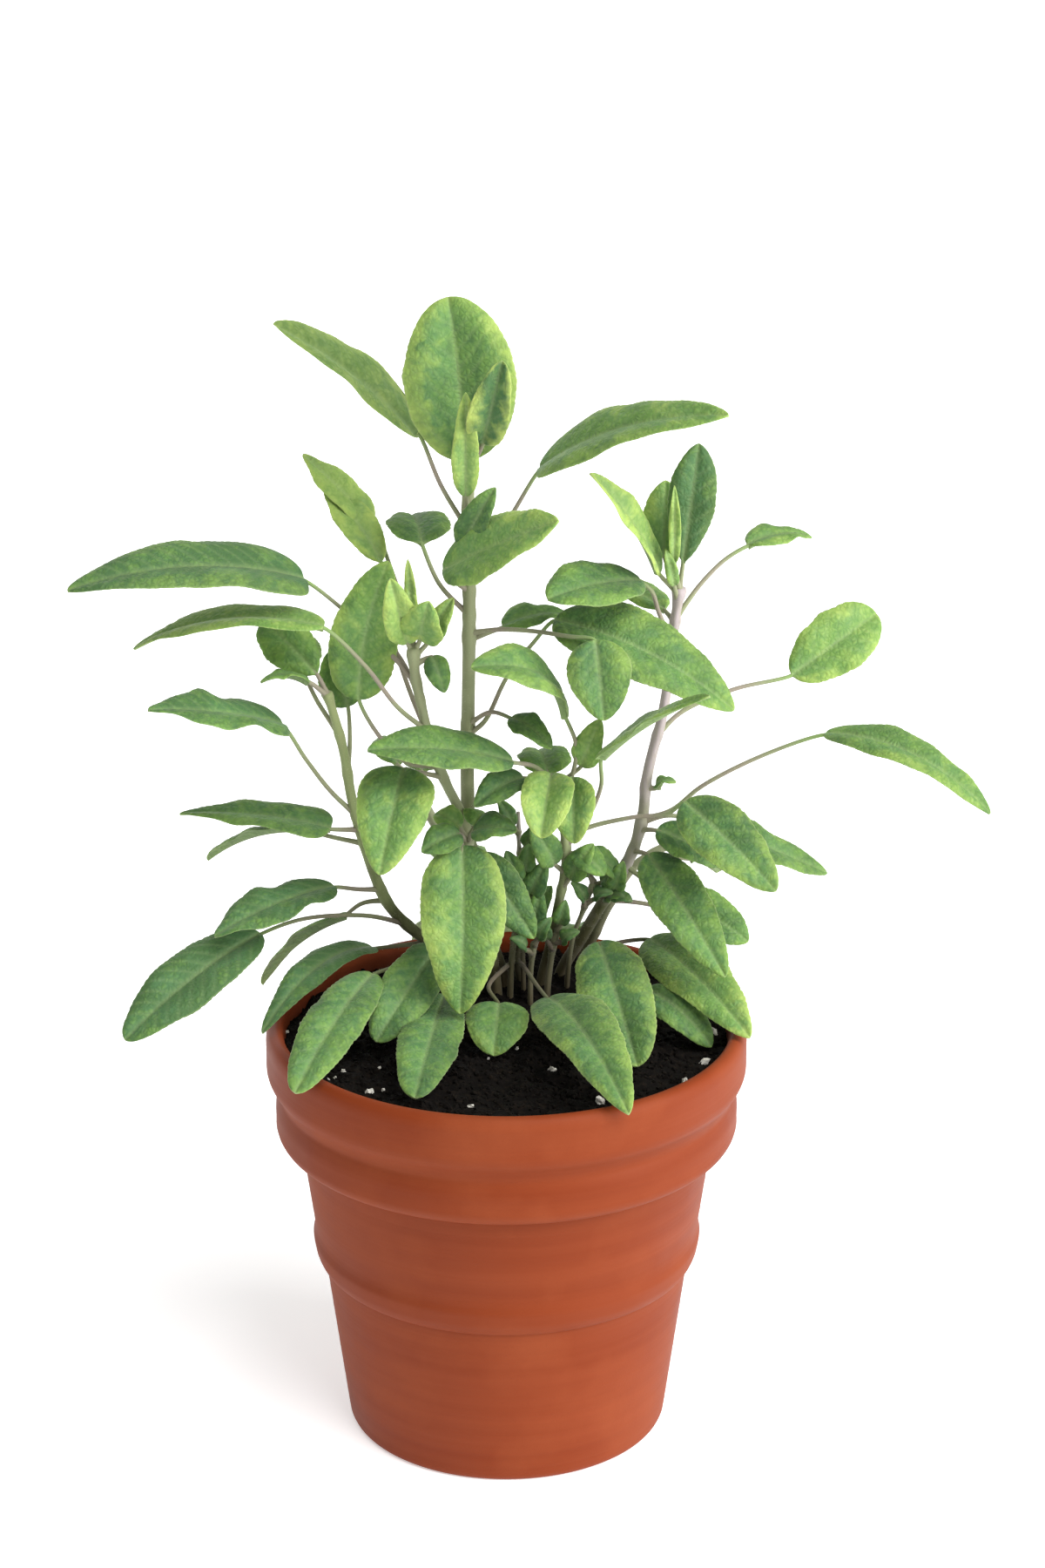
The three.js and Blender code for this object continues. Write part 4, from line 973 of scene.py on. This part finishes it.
def leaf_colour(tree, clouds, blots, flecks, cells):
    """A leaf's green: blue-green along the middle and yellow-green in ragged patches toward the
    margin, with a thin pale edge and grey-green felt below. Its tone carries painted light and shade,
    and the pebbled cells are darker along their edges, as painted shade in the valleys between them."""
    vein, edge, under, tone, lime = (
        add(tree, "ShaderNodeAttribute", attribute_name="leaf_" + name).node.outputs["Fac"]
        for name in ("vein", "edge", "under", "tone", "lime")
    )
    for pattern, *limits in (
        (clouds, 0.3, 0.7, -0.16, 0.16),
        (blots, 0.35, 0.65, -0.12, 0.12),
        (flecks, 0.3, 0.7, -0.1, 0.1),
        # painted shade: darker along the edges of the pebbled cells
        (cells, 0.0, 0.3, -0.12, 0.05),
    ):
        change = add(tree, "ShaderNodeMapRange", [pattern, *limits])
        tone = add(tree, "ShaderNodeMath", [tone, change], operation="ADD")
    uneven, cloudy, patchy, rim_share, mid_share, pale_share = (
        add(tree, "ShaderNodeMapRange", source) for source in (
            (blots, 0.3, 0.7, -0.4, 0.4),
            (clouds, 0.3, 0.7, -0.4, 0.4),
            (clouds, 0.42, 0.55, 0.3, 1.0),
            (edge, 0.9, 1.0, 0.0, 0.22),
            (tone, 0.0, 0.5, 0.0, 1.0),
            (tone, 0.5, 1.0, 0.0, 1.0),
        )
    )
    ragged = add(tree, "ShaderNodeMath", [edge, uneven], operation="ADD")
    outward = add(tree, "ShaderNodeMath", [ragged, cloudy], operation="ADD")
    middle = add(tree, "ShaderNodeMapRange", [ragged, 0.1, 0.7, 0.34, 0.0])
    outer = add(tree, "ShaderNodeMapRange", [outward, 0.2, 1.2, 0.0, 0.6])
    blue_share, lime_share, vein_share, felt_share = (
        add(tree, "ShaderNodeMath", factors, operation="MULTIPLY")
        for factors in ((middle, patchy), (outer, lime), (vein, 0.4), (under, 0.36))
    )
    skin = linear("#416035")
    for share, layer in (
        (mid_share, "#668941"),
        (pale_share, "#90aa58"),
        (blue_share, "#4f7b53"),
        (lime_share, "#adbd62"),
        (vein_share, "#a0b27c"),
        (rim_share, "#b9c48e"),
        (felt_share, "#929f76"),
    ):
        skin = add(tree, "ShaderNodeMix", {0: share, 6: skin, 7: linear(layer)}, data_type="RGBA")
    return skin


def sage_leaf():
    """A sage leaf's skin: matt, downy and pebbled, and a little translucent."""
    material, tree, shader = new_material("Sage leaf")
    clouds, blots, flecks, cells = leaf_patterns(tree)
    puffed = add(tree, "ShaderNodeBump", {"Strength": 0.7, "Distance": 0.0005, "Height": cells})
    down = {"Strength": 0.3, "Distance": 0.0002, "Height": flecks, "Normal": puffed}
    plug(shader, {
        "Base Color": leaf_colour(tree, clouds, blots, flecks, cells),
        "Roughness": 0.62,
        "IOR": 1.4,
        "Specular IOR Level": 0.3,
        "Sheen Weight": 0.12,
        "Sheen Roughness": 0.45,
        "Sheen Tint": linear("#dfe8c8"),
        "Subsurface Weight": 0.12,
        "Subsurface Scale": 0.0012,
        "Subsurface Radius": (0.6, 1.0, 0.2),
        "Normal": add(tree, "ShaderNodeBump", down),
    })
    return material


def sage_stem():
    """A young sage stem's skin: dark brown at the mix, which is partly woody bark and partly painted
    shade near the mix, dark olive bark above it, and grey-green or mauve higher up. The leaf stalks
    are grey and turn green where they join the blade."""
    material, tree, shader = new_material("Sage stem")
    height, petiole, mauve = (
        add(tree, "ShaderNodeAttribute", attribute_name="stem_" + name).node.outputs["Fac"]
        for name in ("height", "stalk", "mauve")
    )
    place = add(tree, "ShaderNodeTexCoord").node.outputs["Object"]
    drawn = add(tree, "ShaderNodeMapping", {"Vector": place, "Scale": (1.0, 1.0, 0.12)})
    bark = add(tree, "ShaderNodeTexNoise", {"Vector": drawn, "Scale": 900.0, "Detail": 3.0})
    patches = add(tree, "ShaderNodeTexNoise", {"Vector": place, "Scale": 90.0, "Detail": 2.0})
    aged = add(tree, "ShaderNodeMath", [height, patches], operation="ADD")
    level = add(tree, "ShaderNodeSeparateXYZ", [place]).node.outputs["Z"]
    grown_up, streak, pale, joint, woody_and_shade = (
        add(tree, "ShaderNodeMapRange", source) for source in (
            (aged, 0.7, 1.15, 0.0, 1.0),
            (bark, 0.4, 0.7, 0.0, 0.3),
            (patches, 0.4, 0.6, 0.0, 0.6),
            (height, 0.6, 0.95, 0.0, 1.0),
            (level, (POT_HEIGHT - WOODY_SHADE_DROP) * MM, (POT_HEIGHT + WOODY_SHADE_RISE) * MM, 0.9, 0.0),
        )
    )
    lilac = add(tree, "ShaderNodeMath", [grown_up, mauve], operation="MULTIPLY")
    skins = []
    for skin, layers in (
        (linear("#8b8273"), ((pale, "#879565"), (joint, "#7b9a55"))),
        (linear("#4c542d"), ((grown_up, "#84905f"), (lilac, "#a69a9c"), (streak, "#8c8866"))),
    ):
        for share, layer in layers:
            skin = add(tree, "ShaderNodeMix", {0: share, 6: skin, 7: linear(layer)}, data_type="RGBA")
        skins.append(skin)
    both = add(tree, "ShaderNodeMix", {0: petiole, 6: skins[1], 7: skins[0]}, data_type="RGBA")
    # Woody bark and painted shade: the stems turn dark brown toward the mix.
    colour = add(tree, "ShaderNodeMix", {0: woody_and_shade, 6: both, 7: linear("#3d2f18")}, data_type="RGBA")
    ridges = {"Strength": 0.4, "Distance": 0.0002, "Height": bark}
    plug(shader, {
        "Base Color": colour,
        "Roughness": 0.75,
        "IOR": 1.4,
        "Sheen Weight": 0.2,
        "Sheen Roughness": 0.5,
        "Sheen Tint": linear("#e6e6d6"),
        "Normal": add(tree, "ShaderNodeBump", ridges),
    })
    return material


def sage_down():
    """Plant hairs: hollow and colourless, so they look silvery white."""
    material, _, shader = new_material("Sage down")
    colour = linear("#aaa98e")
    plug(shader, {"Base Color": colour, "Roughness": 0.6, "IOR": 1.4, "Transmission Weight": 0.3})
    return material


def stem_faces(tree):
    """Faces in the first material slot, which are the stem's and the stalks'."""
    return add(tree, "FunctionNodeCompare", [0.5, add(tree, "GeometryNodeInputMaterialIndex")])


def hair(tree, given, spots):
    """A thin three-sided spike that leans off the skin at random. Real hairs are finer and more:
    these are as coarse as they need to be seen."""
    lean = {0: (-0.5, -0.5, -3.1), 1: (0.5, 0.5, 3.1), "Seed": 5}
    lean = add(tree, "FunctionNodeRandomValue", lean, data_type="FLOAT_VECTOR")
    turn = {"Rotation": spots["Rotation"], "Rotate By": lean}
    size = {2: 0.5, 3: 1.0, "Seed": 9}
    spike = {"Vertices": 3, "Radius Top": 0.0, "Radius Bottom": given["Thickness"], "Depth": given["Length"]}
    return (
        add(tree, "GeometryNodeMeshCone", spike, fill_type="NONE"),
        add(tree, "FunctionNodeRotateRotation", turn, rotation_space="LOCAL"),
        add(tree, "FunctionNodeRandomValue", size, data_type="FLOAT"),
    )


SAGE_STEM = sage_stem()
SAGE_LEAF = sage_leaf()
STEM_DOWN = scattering("Stem down", ("Length", "Thickness"), stem_faces, hair, sage_down())


def joined(parts):
    """Parts as one body: their points, their faces, each face's slot and each point's marks."""
    points, faces, slots = [], [], []
    marks = {name: [] for name in (*MARKS, "u", "v")}
    for spots, corners, given, slot in parts:
        start = sum(map(len, points))
        points.append(spots)
        faces += [[corner + start for corner in face] for face in corners]
        slots += [slot] * len(corners)
        for name, values in marks.items():
            values.append(np.broadcast_to(given.get(name, 0.0), len(spots)))
    marks = {name: np.concatenate(values) for name, values in marks.items()}
    return np.concatenate(points), faces, slots, marks


def grown(shoot, order):
    """One shoot as one mesh: its stem, then each leaf's stalk and blade."""
    points, faces, along = stem(shoot)
    parts = [(points, faces, {"stem_height": along, "stem_mauve": shoot.mauve}, 0)]
    for k, leaf in enumerate(shoot.leaves):
        points, faces, along = stalk(shoot, leaf)
        parts.append((points, faces, {"stem_stalk": 1.0, "stem_height": along}, 0))
        parts.append((*blade(leaf, SEED_STEP * order + k), 1))
    points, faces, slots, marks = joined(parts)
    piece = new_piece(shoot.name + "_foliage", points, faces, SAGE_STEM)
    piece.data.materials.append(SAGE_LEAF)
    piece.data.polygons.foreach_set("material_index", slots)
    for name in MARKS:
        layer = piece.data.attributes.new(name, "FLOAT", "POINT")
        layer.data.foreach_set("value", marks[name].astype(np.float32))
    corner_of = np.empty(len(piece.data.loops), np.int32)
    piece.data.loops.foreach_get("vertex_index", corner_of)
    uv = np.stack([marks["u"], marks["v"]], 1)[corner_of] / BLADE_MAP_UNIT
    piece.data.uv_layers.new(name="blade").data.foreach_set("uv", uv.astype(np.float32).ravel())
    return piece


def planted(shoot, order):
    """A shoot's foliage in its place, with the hairs on it."""
    foliage = grown(shoot, order)
    down = scattered(shoot.name + "_down", foliage, STEM_DOWN, {
        "Per square metre": HAIR_DENSITY, "Length": HAIR_LENGTH * MM, "Thickness": HAIR_THICKNESS * MM,
        "Lowest place": (POT_HEIGHT + BARE_RISE) * MM, "Seed": order,
    })
    for piece in (foliage, down):
        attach(piece, "root")
    return foliage


for order, shoot in enumerate(SHOOTS):
    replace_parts(planted(shoot, order), shoot.name)


# The young sprigs
# Thin sage stems with leaves of 6 to 14 mm, which have just come up between the shoots. They are too
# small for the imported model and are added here.

SPRIGS = [
    Shoot("sprig_thin", foot=(5, 25), thick=0.8, thin=0.55, mauve=0.8, stem=[
        (4.5, -40, 27), (3.9, -24, 26), (3.5, -8, 25),
    ], leaves=[
        Leaf(-14, (2, -12, 24), (-2.5, -4, 22), 5, 50, 0.2),
        Leaf(-20, (5.5, -18, 24), (9.5, -11, 22), 4.5, 50, 0.3),
    ]),
    Shoot("sprig_middle", foot=(1, 22), thick=1.0, thin=0.7, stem=[
        (2, -46, 22), (4, -36, 20), (5, -27, 18),
    ], leaves=[
        Leaf(-44, (7, -43, 19), (10, -30, 17), 7.5, 60, 0.12, lime=0.0),
        Leaf(-40, (1.5, -38, 17), (-2.5, -28, 14), 7, 50, 0.15, lime=0.0),
        Leaf(-34, (7, -32, 18), (11.5, -22, 16), 7.5, 55, 0.1, lime=0.0),
        Leaf(-30, (3, -28, 16), (0, -19, 13), 7, 50, 0.2, lime=0.1),
        Leaf(-27, (5.5, -26, 18), (6.5, -17, 17), 6, 60, 0.25, lime=0.1),
    ]),
    Shoot("sprig_right", foot=(18, 30), thick=0.9, thin=0.6, stem=[
        (19, -44, 30), (22, -36, 29), (25, -28, 28),
    ], leaves=[
        Leaf(-35, (22.5, -33.5, 27), (18.5, -28, 25), 4.5, 40, 0.1, lime=0.0),
        Leaf(-34, (25, -32.5, 27), (30.5, -31, 24), 5, 40, 0.1, lime=0.0),
        Leaf(-30, (29.5, -32, 26), (36, -33.5, 24), 5, 40, 0.1, lime=0.0),
        Leaf(-29, (27, -28, 28), (34, -24.5, 25), 6, 45, 0.2, lime=0.1),
        Leaf(-28, (24, -26, 28), (20, -20, 27), 5, 50, 0.3, lime=0.2),
    ]),
    Shoot("sprig_low_front", foot=(7, 18), thick=0.9, thin=0.7, stem=[
        (7, -54, 20), (7.5, -49, 19), (8, -45, 18),
    ], leaves=[
        Leaf(-46, (9, -44, 17), (13, -38, 15), 5, 50, 0.2, lime=0.1),
        Leaf(-48, (5.5, -47, 17), (1, -44, 14), 5, 40, 0.1, lime=0.0),
    ]),
    Shoot("sprig_low_right", foot=(12, 22), thick=1.1, thin=0.8, stem=[
        (12.5, -52, 24), (13.5, -46, 23), (15, -41, 22),
    ], leaves=[
        Leaf(-42, (15.5, -40, 21), (17, -33, 19), 5.5, 55, 0.2, lime=0.1),
        Leaf(-45, (16, -45, 21), (21, -42, 18), 5, 45, 0.15, lime=0.0),
        Leaf(-47, (11.5, -44.5, 20), (9.5, -38.5, 18), 4.5, 50, 0.1, lime=0.0),
    ]),
]

for order, sprig in enumerate(SPRIGS, len(SHOOTS)):
    planted(sprig, order)


# The floor, the light and the camera
# A plain white studio: a wide pale table under a white sky, a broad soft sun in front at the right and
# a square lamp beside it, and a weak lamp behind. The camera stands where the photograph was taken.

FLOOR_REACH = 30.0
FLOOR_DROP = -0.003
SENSOR = 36.0
FRAME_HEIGHT = 0.4467
FLOOR_GLOW = 0.42
SUN_POWER = 2.7
SUN_SPREAD = math.radians(42)
SIDE_POWER = 30
BACK_POWER = 8
SKY_POWER = 0.42


def light_table():
    """Matt white acrylic sheet, faintly lit from below as on a product table, which thins shadows."""
    material, _, shader = new_material("Light table acrylic")
    plug(shader, {
        "Base Color": linear("#fafafa"), "Roughness": 0.9, "Specular IOR Level": 0.1,
        "Emission Color": linear("#ffffff"), "Emission Strength": FLOOR_GLOW,
    })
    return material


def aimed(name, data, place, target):
    """A light or camera at a place, turned to a target."""
    made = in_scene(name, data)
    made.location = place
    made.rotation_euler = (Vector(place) - target).to_track_quat("Z", "Y").to_euler()
    return made


def lamp(name, kind, place, target, power):
    """A light of a power, aimed at a target."""
    made = aimed(name, bpy.data.lights.new(name, kind), place, target)
    made.data.energy = power
    return made.data


reach = FLOOR_REACH / MM
corners = [(-reach, -reach), (reach, -reach), (reach, reach), (-reach, reach)]
corners = [(x, y, FLOOR_DROP) for x, y in corners]
floor = new_piece("studio_floor", corners, [(0, 1, 2, 3)], light_table())

target = Vector(VIEW_CENTRE * MM)
lamp("side_lamp", "AREA", (1.6, -0.7, 0.7), target, SIDE_POWER).size = 0.9
lamp("back_lamp", "AREA", (-0.7, 1.6, 0.8), target, BACK_POWER).size = 1.2
lamp("soft_sun", "SUN", (0.5, -0.55, 1), Vector(), SUN_POWER).angle = SUN_SPREAD

sky = bpy.data.worlds.new("White studio")
sky.use_nodes = True
plug(sky.node_tree.nodes["Background"], {"Color": linear("#ffffff"), "Strength": SKY_POWER})
bpy.context.scene.world = sky
bpy.context.scene.view_settings.view_transform = "Standard"

camera = aimed("camera", bpy.data.cameras.new("camera"), Vector(EYE * MM), target)
camera.data.sensor_width = SENSOR
camera.data.lens = SENSOR * VIEW_DISTANCE * MM / FRAME_HEIGHT
bpy.context.scene.camera = camera
